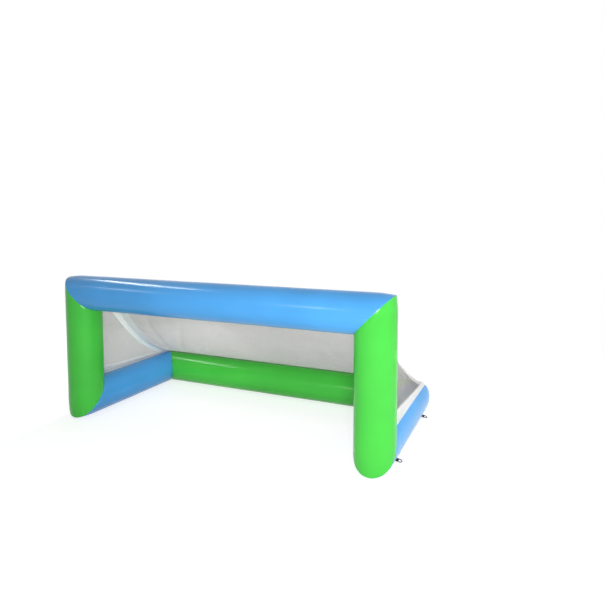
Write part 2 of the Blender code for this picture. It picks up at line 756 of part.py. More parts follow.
def add_valve_core(finish):
    """The hard insert: a rim on the boss, a tube down the bore and three arms that guide the
    stem."""
    wall = BORE_RADIUS - GAP
    seat = SEAL_RADIUS - SEAL_LAP
    rim_low = BOSS_HEIGHT + GAP
    profile = [
        (CORE_RADIUS, rim_low + CORE_RIM),
        (CORE_RIM_RADIUS, rim_low + CORE_RIM),
        (CORE_RIM_RADIUS, rim_low),
        (wall, rim_low),
        (wall, -CORE_DEPTH),
        (seat, -CORE_DEPTH),
        (seat, SEAL_LAP - CORE_DEPTH),
        (CORE_RADIUS, 2 * SEAL_LAP - CORE_DEPTH),
    ]
    core = add_object("valve_core", lathe("valve_core", profile, 24, VALVE_AT), finish)
    low, high = SPIDER_TOP - SPIDER_THICKNESS, SPIDER_TOP
    guide = STEM_RADIUS + STEM_CLEAR
    hub_radius = guide + HUB_WALL
    hub = [(guide, low), (hub_radius, low), (hub_radius, high), (guide, high)]
    boolean(core, "UNION", cutter("spider_hub", lathe("spider_hub", hub, 24, VALVE_AT)))
    reach = ((guide + hub_radius) / 2, (CORE_RADIUS + wall) / 2)
    half = ARM_WIDTH / 2
    faces = [(0, 1, 3, 2), (4, 6, 7, 5), (0, 4, 5, 1), (2, 3, 7, 6), (0, 2, 6, 4), (1, 5, 7, 3)]
    for k in range(SPIDER_ARMS):
        turn = Matrix.Rotation(TURN * k / SPIDER_ARMS, 3, "Y")
        corners = [(u, h, v) for u in reach for v in (-half, half) for h in (low, high)]
        points = [Vector(VALVE_AT) + turn @ Vector(corner) for corner in corners]
        name = f"spider_arm_{k}"
        boolean(core, "UNION", cutter(name, mesh_of(name, points, faces)))


def add_valve_poppet(finish):
    """The push stem with its button outside and its seal under the core's seat."""
    seal_top = -CORE_DEPTH - GAP
    button_low = BUTTON_TOP - BUTTON_THICKNESS
    profile = [
        (0, BUTTON_TOP),
        (BUTTON_RADIUS, BUTTON_TOP),
        (BUTTON_RADIUS, button_low),
        (STEM_RADIUS, button_low),
        (STEM_RADIUS, seal_top),
        (SEAL_RADIUS, seal_top),
        (SEAL_RADIUS, seal_top - SEAL_THICKNESS),
        (0, seal_top - SEAL_THICKNESS),
    ]
    mesh = solid_lathe("valve_poppet", profile, 24, (0, 0, 0))
    add_object("valve_poppet", mesh, finish, VALVE_AT)


def add_valve_spring(finish):
    """The coil between the spider and the button. It flattens as the button is pushed."""
    low = SPIDER_TOP + SPRING_WIRE + GAP
    high = BUTTON_TOP - BUTTON_THICKNESS - SPRING_WIRE - GAP
    curve = bpy.data.curves.new("valve_spring", "CURVE")
    curve.dimensions = "3D"
    curve.bevel_depth = SPRING_WIRE
    curve.bevel_resolution = 1
    curve.use_fill_caps = True
    spline = curve.splines.new("POLY")
    steps = SPRING_TURNS * 10
    spline.points.add(steps)
    for k, point in enumerate(spline.points):
        turn = TURN * k / 10
        x, z = SPRING_RADIUS * math.cos(turn), SPRING_RADIUS * math.sin(turn)
        point.co = (x, low + (high - low) * k / steps, z, 1)
    add_object("valve_spring", curve, finish, VALVE_AT)


def add_valve_cap(cap_finish, gasket_finish):
    """A ribbed cap over the boss, with a washer against the core's rim."""
    rim_top = BOSS_HEIGHT + GAP + CORE_RIM
    gasket_low = rim_top + GAP
    gasket_high = gasket_low + GASKET_THICKNESS
    bore = BOSS_RADIUS + CAP_CLEAR
    gasket = [
        (GASKET_INNER, gasket_low),
        (bore - CAP_CLEAR, gasket_low),
        (bore - CAP_CLEAR, gasket_high),
        (GASKET_INNER, gasket_high),
    ]
    mesh = lathe("valve_cap_gasket", gasket, 32, (0, 0, 0))
    add_object("valve_cap_gasket", mesh, gasket_finish, VALVE_AT)
    ceiling = gasket_high + GAP
    skirt_low = rim_top - CAP_SKIRT
    top = ceiling + CAP_TOP
    profile = [
        (0, top),
        (CAP_RADIUS - CAP_EDGE, top),
        (CAP_RADIUS, top - CAP_EDGE),
        (CAP_RADIUS, skirt_low),
        (bore, skirt_low),
        (bore, ceiling),
        (0, ceiling),
    ]
    mesh = solid_lathe("valve_cap", profile, CAP_STEPS, (0, 0, 0))
    for vertex in mesh.vertices:
        out = math.hypot(vertex.co.x, vertex.co.z)
        groove = round(math.atan2(vertex.co.z, vertex.co.x) * CAP_STEPS / TURN) % 2
        if groove and out > CAP_RADIUS - CAP_EDGE / 2:
            vertex.co.x *= 1 - CAP_GROOVE / out
            vertex.co.z *= 1 - CAP_GROOVE / out
    add_object("valve_cap", mesh, cap_finish, VALVE_AT)


def build():
    clear_scene()
    blue = material("blue_pvc", (0.075, 0.330, 0.800), 0.28)
    green = material("green_pvc", (0.060, 0.560, 0.055), 0.28)
    tape = material("clear_weld_tape", (0.700, 0.720, 0.740), 0.40)
    mesh_white = material("white_mesh", (0.780, 0.780, 0.760), 0.75)
    band_white = material("white_pvc_band", (0.860, 0.860, 0.850), 0.45)
    black = material("black_pvc", (0.025, 0.025, 0.027), 0.50)
    webbing = material("black_webbing", (0.018, 0.018, 0.020), 0.85)
    coated = material("black_coated_steel", (0.020, 0.020, 0.022), 0.35)
    soft = material("valve_soft_pvc", (0.035, 0.035, 0.038), 0.45)
    hard = material("valve_hard_plastic", (0.230, 0.235, 0.245), 0.40)
    steel = material("spring_steel", (0.560, 0.570, 0.580), 0.30, 1.0)
    rubber = material("valve_rubber", (0.030, 0.030, 0.030), 0.70)

    colours = {"crossbar_tube": blue, "left_ground_tube": blue, "right_ground_tube": blue}
    tubes = {tube: add_object(tube, tube_mesh(tube), colours.get(tube, green)) for tube in TUBES}
    for corner in CORNERS:
        name = f"{corner}_weld_tape"
        add_object(name, tape_mesh(name, corner), tape)
    add_nets(mesh_white)
    add_ground_hems(band_white)
    add_post_hems(band_white)
    add_crossbar_hem(band_white)
    add_corner_bands(band_white)
    add_anchors(black, webbing, coated)
    add_valve_base(tubes["left_post_tube"], soft)
    add_valve_core(hard)
    add_valve_poppet(hard)
    add_valve_spring(steel)
    add_valve_cap(soft, rubber)


build()
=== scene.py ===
"""Looks of the inflatable soccer goal, built round its frame of plain solids.

Metres, in the frame's axes: x along the crossbar, y from the mouth to the rear bar, z up.
The right side is the +x side. Whatever is mirrored is worked out on the right.
"""

import math

import bmesh
import bpy
import numpy as np
from mathutils import Matrix, Vector


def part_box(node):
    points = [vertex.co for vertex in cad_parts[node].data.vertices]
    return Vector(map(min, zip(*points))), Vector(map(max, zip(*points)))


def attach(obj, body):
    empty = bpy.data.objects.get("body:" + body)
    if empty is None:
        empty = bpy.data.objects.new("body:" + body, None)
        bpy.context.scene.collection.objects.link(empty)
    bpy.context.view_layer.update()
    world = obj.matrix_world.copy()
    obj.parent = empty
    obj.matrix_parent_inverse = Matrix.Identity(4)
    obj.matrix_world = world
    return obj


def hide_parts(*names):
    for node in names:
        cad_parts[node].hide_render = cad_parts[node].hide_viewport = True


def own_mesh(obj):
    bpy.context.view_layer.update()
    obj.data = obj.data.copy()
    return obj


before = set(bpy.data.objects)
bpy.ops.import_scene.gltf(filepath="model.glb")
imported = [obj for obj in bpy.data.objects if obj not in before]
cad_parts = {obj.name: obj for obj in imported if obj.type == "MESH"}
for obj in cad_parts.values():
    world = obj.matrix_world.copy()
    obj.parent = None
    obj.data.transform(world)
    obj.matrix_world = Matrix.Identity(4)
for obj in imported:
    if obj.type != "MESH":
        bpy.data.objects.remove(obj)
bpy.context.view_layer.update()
SIDES = {"left": -1, "right": 1}
TURN = 2 * math.pi


def middle(node):
    low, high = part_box(node)
    return (low + high) / 2


# Air frame, read from the solids
GROUND_LOW, GROUND_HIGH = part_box("right_ground_tube")
TUBE_RADIUS = (GROUND_HIGH.x - GROUND_LOW.x) / 2
POST_X = middle("right_ground_tube").x
GROUND_Z = middle("right_ground_tube").z
FRONT_Y = middle("crossbar_tube").y
CROSSBAR_Z = middle("crossbar_tube").z
REAR_Y = middle("rear_ground_tube").y

# Sheets of the air frame
TUBE_WALL = 0.0009
SKIN_RADIUS = TUBE_RADIUS + 0.0002
TUBE_SECTION = 168  # points round a tube
END_STEP = 0.003  # between rings at a mitre, growing to the middle step
MIDDLE_STEP = 0.024
STEP_GROWTH = 1.10
SEAM_SHUT = 0.0001  # from each tube's edge to the mitre plane
PINCH = 0.0022  # how far the weld draws the mitre in
PINCH_REACH = 0.009
PUCKER = 0.0030  # deepest crease beside a mitre
PUCKER_REACH = 0.050
PUCKER_WAVES = (13, 19, 29, 37)  # round a mitre
PUCKER_GAIN = 1.6  # the more, the wider the creases
PUCKER_POWER = 1.5  # the more, the sharper the creases
REACH_WAVES = (5, 8, 11)  # of the creases' lengths, round a mitre
SWELL = 0.0009  # slow waves along a tube
SWELL_WAVES = (9, 14, 23)  # radians per metre along a tube
TWIST_WAVES = (2, 3)  # round a tube, turning along it
LAP_STEP = 0.0010  # the tube's own long weld
LAP_WIDTH = 0.045
LAP_EDGE = 0.0004
LAP_FADE = 0.05  # towards the mitres
CORNER_SOFTNESS = {  # how far the outer corner of each mitre rounds off
    "top_left": 0.007,
    "top_right": 0.008,
    "foot_left": 0.010,
    "foot_right": 0.010,
    "rear_left": 0.012,
    "rear_right": 0.012,
}
SOFTNESS_REACH = 0.055
SMOOTHER = {"top_left": 0.3}  # the share of the creases' depth that a mitre keeps
TAPE_WIDTH = 0.050
TAPE_THICKNESS = 0.0009
TAPE_SECTION = 120  # points round a tape
TAPE_ROWS = 8  # on each side of a mitre
TAPE_UV_STEP = 0.003

# Net and bands, as in the solids
NET_THICKNESS = 0.0008
BAND_THICKNESS = 0.0009
GAP = 0.0003
BAND_LOW = TUBE_RADIUS / math.cos(math.pi / 48) + GAP
NET_RADIUS = BAND_LOW + BAND_THICKNESS + GAP + NET_THICKNESS / 2 + 0.0006
BAND_OFFSET = NET_THICKNESS / 2 + GAP + BAND_THICKNESS / 2
POST_HEM_FLAP = 0.030
GROUND_HEM_FLAP = 0.060
HEM_LEAVES = math.radians(33.75)
HEM_WELD = math.radians(7.5)
CROSSBAR_LEAVES = math.radians(93.75)
CROSSBAR_WELD = math.radians(22.5)
CROSSBAR_LAP = math.radians(7.5)
CORNER_BAND_WIDTH = 0.070
SEAM_INSET = 0.115
SEAM_SAG = 0.098
SEAM_BOW = 0.040
BACK_NET_SAG = 0.085
SEAM_CLEAR = 0.0025
HEM_CLEAR = 0.0030
BAND_CLEAR = TUBE_RADIUS / 15
RIDGE_ROOM = 0.0035
RIDGE_REACH = 0.035
NET_STEP = 0.011  # between grid lines of the nets
HEM_STEP = 0.005  # between grid lines across a hem
BAND_STEP = 0.0085  # between grid lines across a corner band
LENGTH_SAMPLES = 9  # lines on which a net's widths and heights are measured
GRID_ROUNDS = 8  # of turning metres into shares of those lengths
NORMAL_STEP = 0.006  # to the points from which a normal is worked out, as a share
WELD_ROWS = 6  # of a hem, on its tube
LAP_ROWS = 3  # of a net, over the crossbar's hem

# Ground anchors
FLAT = TURN / 48
PATCH_FIRST, PATCH_LAST = math.radians(18.75), math.radians(56.25)  # from straight down
PATCH_CORNER = 0.009
PATCH_THICKNESS = 0.0009
PATCH_EDGE = 0.0012  # over which its thickness rounds off
PRESSED_INSET = 0.005  # from the patch's edge to its pressed border
PRESSED_HALF = 0.0022
PRESSED_DEPTH = 0.0003
WEBBING_THICKNESS = 0.0014
WEBBING_EDGE = 0.07  # the share of its half width over which it rounds off
WEBBING_RIB = 0.06  # of its thickness
WEBBING_RIBS = 21  # radians of ribs over its half width
WEBBING_LEAVES = math.radians(33.75)
WEBBING_REACH = 0.0228
RING_WIRE_RADIUS = 0.0025
RING_HALF_BAR = 0.017
RING_REACH = 0.0235
RING_CORNER = 0.004
BAR_HEIGHT = 0.0078


def vec(*numbers):
    return np.array(numbers, float)


def unit(v):
    return v / np.linalg.norm(v, axis=-1, keepdims=True)


def stacked(*parts):
    """Points from their coordinates, which may each be a number or a grid."""
    return np.stack(np.broadcast_arrays(*parts), -1)


def run_lengths(points, axis=0):
    """The distance of each point of a line or a grid from its start."""
    total = np.cumsum(np.linalg.norm(np.diff(points, axis=axis), axis=-1), axis)
    return np.concatenate([total.take([0], axis) * 0, total], axis)


def waves(x, frequencies, seed):
    """A sum of sines from -1 to 1, the same for the same seed."""
    source = np.random.default_rng(seed)
    total = 0.0
    for frequency in frequencies:
        total = total + np.sin(frequency * x + source.uniform(0, TURN))
    return total / len(frequencies)


def smooth_step(x):
    x = np.clip(x, 0.0, 1.0)
    return x * x * (3 - 2 * x)


def bell(x):
    """1 at 0, falling smoothly to 0 at -1 and 1."""
    return (1 + np.cos(np.pi * np.clip(np.abs(x), 0.0, 1.0))) / 2


# Meshes


def quads(rows, columns):
    """Quads over a grid of points, row by row."""
    first = np.arange((rows - 1) * columns).reshape(-1, columns)[:, :-1]
    return np.stack([first, first + columns, first + columns + 1, first + 1], -1).reshape(-1, 4)


def sheet_of(name, points, uv, sharp, flip=False):
    """A mesh object of one grid of points."""
    faces = quads(*points.shape[:2])
    return object_of(name, points, faces[:, ::-1] if flip else faces, uv, sharp)


def object_of(name, points, faces, uv, sharp=35):
    """A mesh object with a UV per point, smooth but for its sharp edges."""
    mesh = bpy.data.meshes.new(name)
    mesh.from_pydata(points.reshape(-1, 3).tolist(), [], faces.tolist())
    mesh.validate()
    layer = mesh.uv_layers.new(name="UVMap")
    corners = np.zeros(len(mesh.loops), np.int32)
    mesh.loops.foreach_get("vertex_index", corners)
    layer.data.foreach_set("uv", uv.reshape(-1, 2).astype(np.float32)[corners].ravel())
    mesh.shade_smooth()
    mesh.set_sharp_from_angle(angle=math.radians(sharp))
    made = bpy.data.objects.new(name, mesh)
    bpy.context.scene.collection.objects.link(made)
    return made


def shell(name, outer, inner, uv, around=False, flip=False):
    """A closed sheet between two grids of points. around needs its last column to repeat
    the first, so that the UVs can run on; the repeated points are then joined."""
    rows, columns = outer.shape[:2]
    count = rows * columns
    grid = np.arange(count).reshape(rows, columns)
    top = quads(rows, columns)
    faces = [top, top[:, ::-1] + count]
    if around:
        for edge, step in ((grid[0], 1), (grid[-1], -1)):
            a, b = edge[:-1], edge[1:]
            faces.append(np.stack([a, b, b + count, a + count], -1)[:, ::step])
    else:
        loop = np.concatenate([grid[0, :-1], grid[:-1, -1], grid[-1, :0:-1], grid[:0:-1, 0]])
        after = np.roll(loop, -1)
        faces.append(np.stack([after, loop, loop + count, after + count], -1))
    faces = np.concatenate(faces)
    points = np.concatenate([outer.reshape(-1, 3), inner.reshape(-1, 3)])
    uvs = np.concatenate([uv.reshape(-1, 2)] * 2)
    made = object_of(name, points, faces[:, ::-1] if flip else faces, uvs)
    if around:
        clean(made.data)
    return made


def clean(mesh, distance=1e-6, outwards=False):
    """Joins points that lie on each other. The UVs stay with the faces' corners. outwards
    also turns every face to the outside."""
    work = bmesh.new()
    work.from_mesh(mesh)
    bmesh.ops.remove_doubles(work, verts=work.verts, dist=distance)
    if outwards:
        bmesh.ops.recalc_face_normals(work, faces=work.faces)
    work.to_mesh(mesh)
    work.free()


def set_attribute(piece, name, values):
    """A number per point that a material reads."""
    made = piece.data.attributes.new(name, "FLOAT", "POINT")
    made.data.foreach_set("value", np.asarray(values, np.float32).ravel())


def fit_out(piece, body, slot, finish, *nodes):
    """The finish of a piece, the body that it rides on and the nodes that it stands for."""
    piece.data.materials.append(finish)
    if nodes:
        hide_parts(*nodes)
    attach(piece, body)
    return piece


# Materials


class Nodes:
    """A node tree, with short calls for the nodes that this scene uses."""

    def __init__(self, tree):
        self.tree = tree

    def give(self, socket, value):
        """Links a socket, or sets it to a number, a vector or a colour."""
        if isinstance(value, bpy.types.NodeSocket):
            self.tree.links.new(value, socket)
        else:
            socket.default_value = (*value, 1.0) if socket.type == "RGBA" else value

    def node(self, kind, sockets=None, **settings):
        made = self.tree.nodes.new(kind)
        for key, value in settings.items():
            setattr(made, key, value)
        for key, value in (sockets or {}).items():
            self.give(made.inputs[key], value)
        return made

    def math(self, operation, a, b=0.0):
        return self.node("ShaderNodeMath", {0: a, 1: b}, operation=operation).outputs[0]

    def noise(self, place, scale, detail=3.0, roughness=0.5, stretch=None):
        if stretch is not None:
            place = self.node("ShaderNodeMapping", {"Vector": place, "Scale": stretch}).outputs[0]
        sockets = {"Vector": place, "Scale": scale, "Detail": detail, "Roughness": roughness}
        return self.node("ShaderNodeTexNoise", sockets).outputs["Fac"]

    def ramp(self, value, low, high, out_low=0.0, out_high=1.0, kind="SMOOTHSTEP"):
        sockets = {"Value": value, "From Min": low, "From Max": high}
        sockets.update({"To Min": out_low, "To Max": out_high})
        return self.node("ShaderNodeMapRange", sockets, interpolation_type=kind).outputs["Result"]

    def mix(self, share, a, b):
        """A colour between a and b, which are colours or sockets."""
        made = self.node("ShaderNodeMix", {"Factor": share}, data_type="RGBA")
        for socket, value in zip((s for s in made.inputs if s.type == "RGBA"), (a, b)):
            self.give(socket, value)
        return next(s for s in made.outputs if s.type == "RGBA")

    def threads(self, coordinate, pitch, share):
        """1 on threads across a coordinate in metres, 0 in the gaps, with soft edges."""
        phase = self.math("FRACT", self.math("DIVIDE", coordinate, pitch))
        off = self.math("ABSOLUTE", self.math("SUBTRACT", phase, 0.5))
        half = share / 2
        return self.ramp(off, half - THREAD_SOFTNESS, half + THREAD_SOFTNESS, 1.0, 0.0)

    def bump(self, height, distance, strength=1.0, under=None):
        sockets = {"Height": height, "Distance": distance, "Strength": strength}
        if under is not None:
            sockets["Normal"] = under
        return self.node("ShaderNodeBump", sockets).outputs["Normal"]


class Paint(Nodes):
    """A material of one principled shader."""

    def __init__(self, name):
        self.material = bpy.data.materials.new(name)
        self.material.use_nodes = True
        super().__init__(self.material.node_tree)
        self.shader = self.tree.nodes["Principled BSDF"]
        coordinates = self.node("ShaderNodeTexCoord").outputs
        self.place = coordinates["Object"]
        self.u, self.v, _ = self.node("ShaderNodeSeparateXYZ", {0: coordinates["UV"]}).outputs

    def attribute(self, name):
        return self.node("ShaderNodeAttribute", attribute_name=name).outputs["Fac"]

    def weave(self, pitch, share=0.6):
        """1 where threads across and along a sheet cross, 0 in the gaps."""
        return self.math("MULTIPLY", *(self.threads(way, pitch, share) for way in (self.u, self.v)))

    def let_light_through(self, share, colour):
        """Makes a thin sheet glow with the light on its other side."""
        through = self.node("ShaderNodeBsdfTranslucent", {"Color": colour})
        sockets = {0: share, 1: self.shader.outputs[0], 2: through.outputs[0]}
        both = self.node("ShaderNodeMixShader", sockets)
        self.give(self.tree.nodes["Material Output"].inputs["Surface"], both.outputs[0])

    def set(self, **values):
        """Gives the shader's sockets their colours, numbers or other nodes' sockets."""
        sockets = {s.name.lower().replace(" ", "_"): s for s in self.shader.inputs}
        for key, value in values.items():
            self.give(sockets[key], value)
        return self.material


def scaled(colour, factor, lift=0.0):
    return tuple(min(1.0, c * factor + lift) for c in colour)


THREAD_SOFTNESS = 0.08  # of a thread's edge, as a share of the pitch
SCRIM_PITCH = 0.0022  # of the weave inside coated fabrics
TARPAULIN_ROUGHNESS = 0.21
MESH_PITCH = 0.0030
YARN_SHARE = 0.36  # of the mesh's pitch
OPENING_COVER = 0.36  # of the net's openings, which fuzz and finer yarns fill
STITCH_INSET = 0.006  # from a band's edge
BORDER = "border"  # a sheet's distance from its nearest open edge
BACKING = "backing"  # how far a net's point lies in from the edge of a band that backs it, where the net's tone is painted lighter


def tarpaulin(name, colour):
    """PVC-coated tarpaulin: a glossy skin over a woven scrim that just shows."""
    paint = Paint(name)
    cloudy = paint.ramp(paint.noise(paint.place, 2.2), 0.35, 0.65)
    tone = paint.mix(cloudy, scaled(colour, 0.95), scaled(colour, 1.05))
    scuffs = paint.noise(paint.place, 9, 5, 0.6, stretch=(1, 1, 3))
    worn = paint.ramp(scuffs, 0.60, 0.80, 0.0, 0.05)
    tone = paint.mix(worn, tone, scaled(colour, 0.6, 0.25))
    drape = paint.noise(paint.place, 7, 3, 0.55)
    normal = paint.bump(drape, 0.0015, 0.5)
    peel = paint.noise(paint.place, 140, 2)
    normal = paint.bump(peel, 0.00005, 0.5, normal)
    normal = paint.bump(paint.weave(SCRIM_PITCH), 0.00001, 0.6, normal)
    low, high = TARPAULIN_ROUGHNESS - 0.03, TARPAULIN_ROUGHNESS + 0.03
    shine = paint.ramp(paint.noise(paint.place, 60), 0.3, 0.7, low, high)
    rough = paint.math("ADD", shine, paint.math("MULTIPLY", worn, 0.8))
    return paint.set(base_color=tone, roughness=rough, specular_ior_level=0.2, normal=normal)


def net_finish():
    """Fine knitted mesh: white yarn in square openings, doubled along its edges; its tone is
    painted grey as shade, and painted lighter where a band lies behind it.
    """
    paint = Paint("net_yarn")
    both_ways = [paint.threads(way, MESH_PITCH, YARN_SHARE) for way in (paint.u, paint.v)]
    yarn = paint.math("MAXIMUM", *both_ways)
    doubled = paint.ramp(paint.attribute(BORDER), 0.010, 0.012, 1.0, 0.0)
    cover = paint.ramp(yarn, 0.0, 1.0, OPENING_COVER, 1.0, "LINEAR")
    cover = paint.math("MAXIMUM", cover, doubled)
    cloudy = paint.ramp(paint.noise(paint.place, 5, 4), 0.35, 0.7)
    # Painted shade: the yarn is white, but its tone here is a warm grey, darker than its own
    # colour.
    tone = paint.mix(cloudy, (0.345, 0.335, 0.310), (0.405, 0.395, 0.370))
    dust = paint.ramp(paint.noise(paint.place, 40, 4, 0.6), 0.5, 0.8, 0.0, 0.25)
    tone = paint.mix(dust, tone, (0.29, 0.28, 0.26))
    # Painted light: where a white band lies behind the net, the net's tone is painted lighter,
    # standing in for the lit band seen through its openings.
    tone = paint.mix(paint.ramp(paint.attribute(BACKING), -0.002, 0.002), tone, (0.74, 0.73, 0.71))
    tone = paint.mix(doubled, tone, (0.80, 0.81, 0.80))
    normal = paint.bump(yarn, 0.0004, 0.5)
    return paint.set(base_color=tone, roughness=0.72, alpha=cover, normal=normal)


def band_finish(name, see_through):
    """White PVC band with a row of stitches beside each edge."""
    paint = Paint(name)
    mottle = paint.noise(paint.place, 26, 4, 0.6)
    tone = paint.mix(paint.ramp(mottle, 0.35, 0.65), (0.90, 0.90, 0.895), (0.96, 0.96, 0.955))
    off_line = paint.math("SUBTRACT", paint.attribute(BORDER), STITCH_INSET)
    line = paint.ramp(paint.math("ABSOLUTE", off_line), 0.0004, 0.0008, 1.0, 0.0)
    stitch = paint.math("MULTIPLY", line, paint.threads(paint.v, 0.0055, 0.64))
    tone = paint.mix(paint.math("MULTIPLY", line, 0.35), tone, (0.42, 0.42, 0.42))
    tone = paint.mix(stitch, tone, (0.90, 0.90, 0.88))
    normal = paint.bump(paint.noise(paint.place, 30), 0.0020, 0.6)
    normal = paint.bump(paint.weave(SCRIM_PITCH), 0.00008, 0.7, normal)
    normal = paint.bump(stitch, 0.0005, 0.8, normal)
    paint.let_light_through(see_through, (0.96, 0.96, 0.95))
    rough = paint.ramp(mottle, 0.3, 0.7, 0.38, 0.55)
    return paint.set(base_color=tone, roughness=rough, normal=normal)


def webbing_finish():
    """Woven webbing: warp cords in a herringbone across the strap."""
    paint = Paint("black_webbing")
    slant = paint.math("ADD", paint.v, paint.math("PINGPONG", paint.u, 0.004))
    cords = paint.threads(paint.u, 0.0010, 0.7)
    woven = paint.math("MULTIPLY", paint.threads(slant, 0.0016, 0.62), cords)
    fuzz = paint.noise(paint.place, 500)
    tone = paint.mix(woven, (0.008, 0.008, 0.009), (0.034, 0.034, 0.037))
    tone = paint.mix(paint.ramp(fuzz, 0.55, 0.8, 0.0, 0.3), tone, (0.085, 0.083, 0.080))
    normal = paint.bump(woven, 0.0004, 0.9)
    rough = paint.ramp(fuzz, 0.3, 0.7, 0.75, 0.9)
    return paint.set(base_color=tone, roughness=rough, normal=normal)


def coated_steel_finish():
    """Black coating, chipped down to bare steel in places."""
    paint = Paint("coated_steel")
    chips = paint.noise(paint.place, 260, 5, 0.7)
    worn = paint.ramp(chips, 0.68, 0.74)
    return paint.set(
        base_color=paint.mix(worn, (0.018, 0.018, 0.020), (0.34, 0.34, 0.35)),
        roughness=paint.ramp(chips, 0.3, 0.7, 0.24, 0.40),
        metallic=paint.math("MULTIPLY", worn, 0.9),
        normal=paint.bump(paint.noise(paint.place, 700, 2), 0.0001, 0.5),
    )


def speckled(paint, speck, spread, tones, rough, **more):
    """Sets a finish whose tone and roughness both follow one noise."""
    tone = paint.mix(paint.ramp(speck, *spread), *tones)
    return paint.set(base_color=tone, roughness=paint.ramp(speck, 0.3, 0.7, *rough), **more)


def tape_finish():
    paint = Paint("weld_tape")
    milky = paint.noise(paint.place, 30, 4)
    normal = paint.bump(paint.noise(paint.place, 90, 2), 0.0004, 0.6)
    tones = (0.66, 0.69, 0.71), (0.74, 0.76, 0.78)
    return speckled(paint, milky, (0.35, 0.65), tones, (0.32, 0.46), normal=normal)


def black_pvc_finish():
    paint = Paint("black_pvc")
    dust = paint.noise(paint.place, 120, 5, 0.65)
    normal = paint.bump(paint.weave(0.0016), 0.0001, 0.8)
    tones = (0.022, 0.022, 0.024), (0.060, 0.060, 0.058)
    return speckled(paint, dust, (0.45, 0.75), tones, (0.38, 0.55), normal=normal)


def moulded_finish(name, colour, roughness, grain=400):
    """Moulded plastic or rubber with a fine grain and a little dust."""
    paint = Paint(name)
    dust = paint.noise(paint.place, 90, 5, 0.65)
    normal = paint.bump(paint.noise(paint.place, grain, 2), 0.00008, 0.8)
    tones = colour, scaled(colour, 1.0, 0.04)
    rough = roughness - 0.05, roughness + 0.08
    return speckled(paint, dust, (0.45, 0.8), tones, rough, normal=normal)


def steel_finish():
    paint = Paint("spring_steel")
    drawn = paint.noise(paint.place, 800)
    tones = (0.48, 0.49, 0.50), (0.62, 0.63, 0.64)
    return speckled(paint, drawn, (0.3, 0.7), tones, (0.22, 0.36), metallic=1.0)


# Air tubes

CORNERS = {
    "foot_left": vec(-POST_X, FRONT_Y, GROUND_Z),
    "foot_right": vec(POST_X, FRONT_Y, GROUND_Z),
    "top_left": vec(-POST_X, FRONT_Y, CROSSBAR_Z),
    "top_right": vec(POST_X, FRONT_Y, CROSSBAR_Z),
    "rear_left": vec(-POST_X, REAR_Y, GROUND_Z),
    "rear_right": vec(POST_X, REAR_Y, GROUND_Z),
}
TAPES = {
    "front_left_foot_weld_tape": "foot_left",
    "front_right_foot_weld_tape": "foot_right",
    "top_left_weld_tape": "top_left",
    "top_right_weld_tape": "top_right",
    "rear_left_weld_tape": "rear_left",
    "rear_right_weld_tape": "rear_right",
}
# Each tube's ends, the way its hem faces and the way its own long weld faces
TUBES = {
    "crossbar_tube": ("top_left", "top_right", vec(0, 1, 0), vec(0, 0.5, -0.87)),
    "left_post_tube": ("foot_left", "top_left", vec(-0.3, 1, 0), vec(0.87, 0.5, 0)),
    "right_post_tube": ("foot_right", "top_right", vec(0.3, 1, 0), vec(-0.87, 0.5, 0)),
    "left_ground_tube": ("foot_left", "rear_left", vec(-0.6, 0, 0.8), vec(0.5, 0, -0.87)),
    "right_ground_tube": ("foot_right", "rear_right", vec(0.6, 0, 0.8), vec(-0.5, 0, -0.87)),
    "rear_ground_tube": ("rear_left", "rear_right", vec(0, 0.6, 0.8), vec(0, 0.87, -0.5)),
}


def away(tube, corner):
    """The direction in which a tube leaves one of its corners."""
    start, end = TUBES[tube][:2]
    other = end if corner == start else start
    return unit(CORNERS[other] - CORNERS[corner])


def neighbour(tube, corner):
    return [t for t, ends in TUBES.items() if corner in ends[:2] and t != tube][0]


def mitre_normal(tube, corner):
    return unit(away(tube, corner) - away(neighbour(tube, corner), corner))


def corner_axes(tube, corner):
    """Across a tube at a mitre: outwards, and along the mitre's short side, which is the
    same for both of its tubes."""
    outwards = -away(neighbour(tube, corner), corner)
    first, second = sorted([tube, neighbour(tube, corner)])
    side = np.cross(away(first, corner), away(second, corner))
    return outwards, side


def drawn_in(corner, phi, along):
    """How far the skin lies inside the tube's full radius near a mitre. phi is 0 at the
    outer corner and pi at the inner one, and along is the distance from the weld."""
    seed = list(CORNERS).index(corner)
    rounded = CORNER_SOFTNESS[corner] * np.clip(np.cos(phi), 0, 1) ** 3
    rounded = rounded * np.exp(-((along / SOFTNESS_REACH) ** 2))
    pinch = PINCH * np.exp(-along / PINCH_REACH)
    crease = np.clip(waves(phi, PUCKER_WAVES, seed) * PUCKER_GAIN, 0, 1) ** PUCKER_POWER
    inner = 0.30 + 0.70 * ((1 - np.cos(phi)) / 2) ** 2
    reach = PUCKER_REACH * (0.55 + 0.45 * waves(phi, REACH_WAVES, seed + 10))
    pucker = PUCKER * SMOOTHER.get(corner, 1.0) * crease * inner * np.exp(-along / reach)
    return rounded + pinch + pucker


def ring_places(length):
    """Places of a tube's rings, as shares of its length, closer together at its ends."""
    steps = []
    step = END_STEP
    while sum(steps) < length / 2:
        steps.append(step)
        step = min(step * STEP_GROWTH, MIDDLE_STEP)
    half = np.concatenate([[0.0], np.cumsum(steps)]) / sum(steps) / 2
    return np.concatenate([half, 1 - half[-2::-1]])


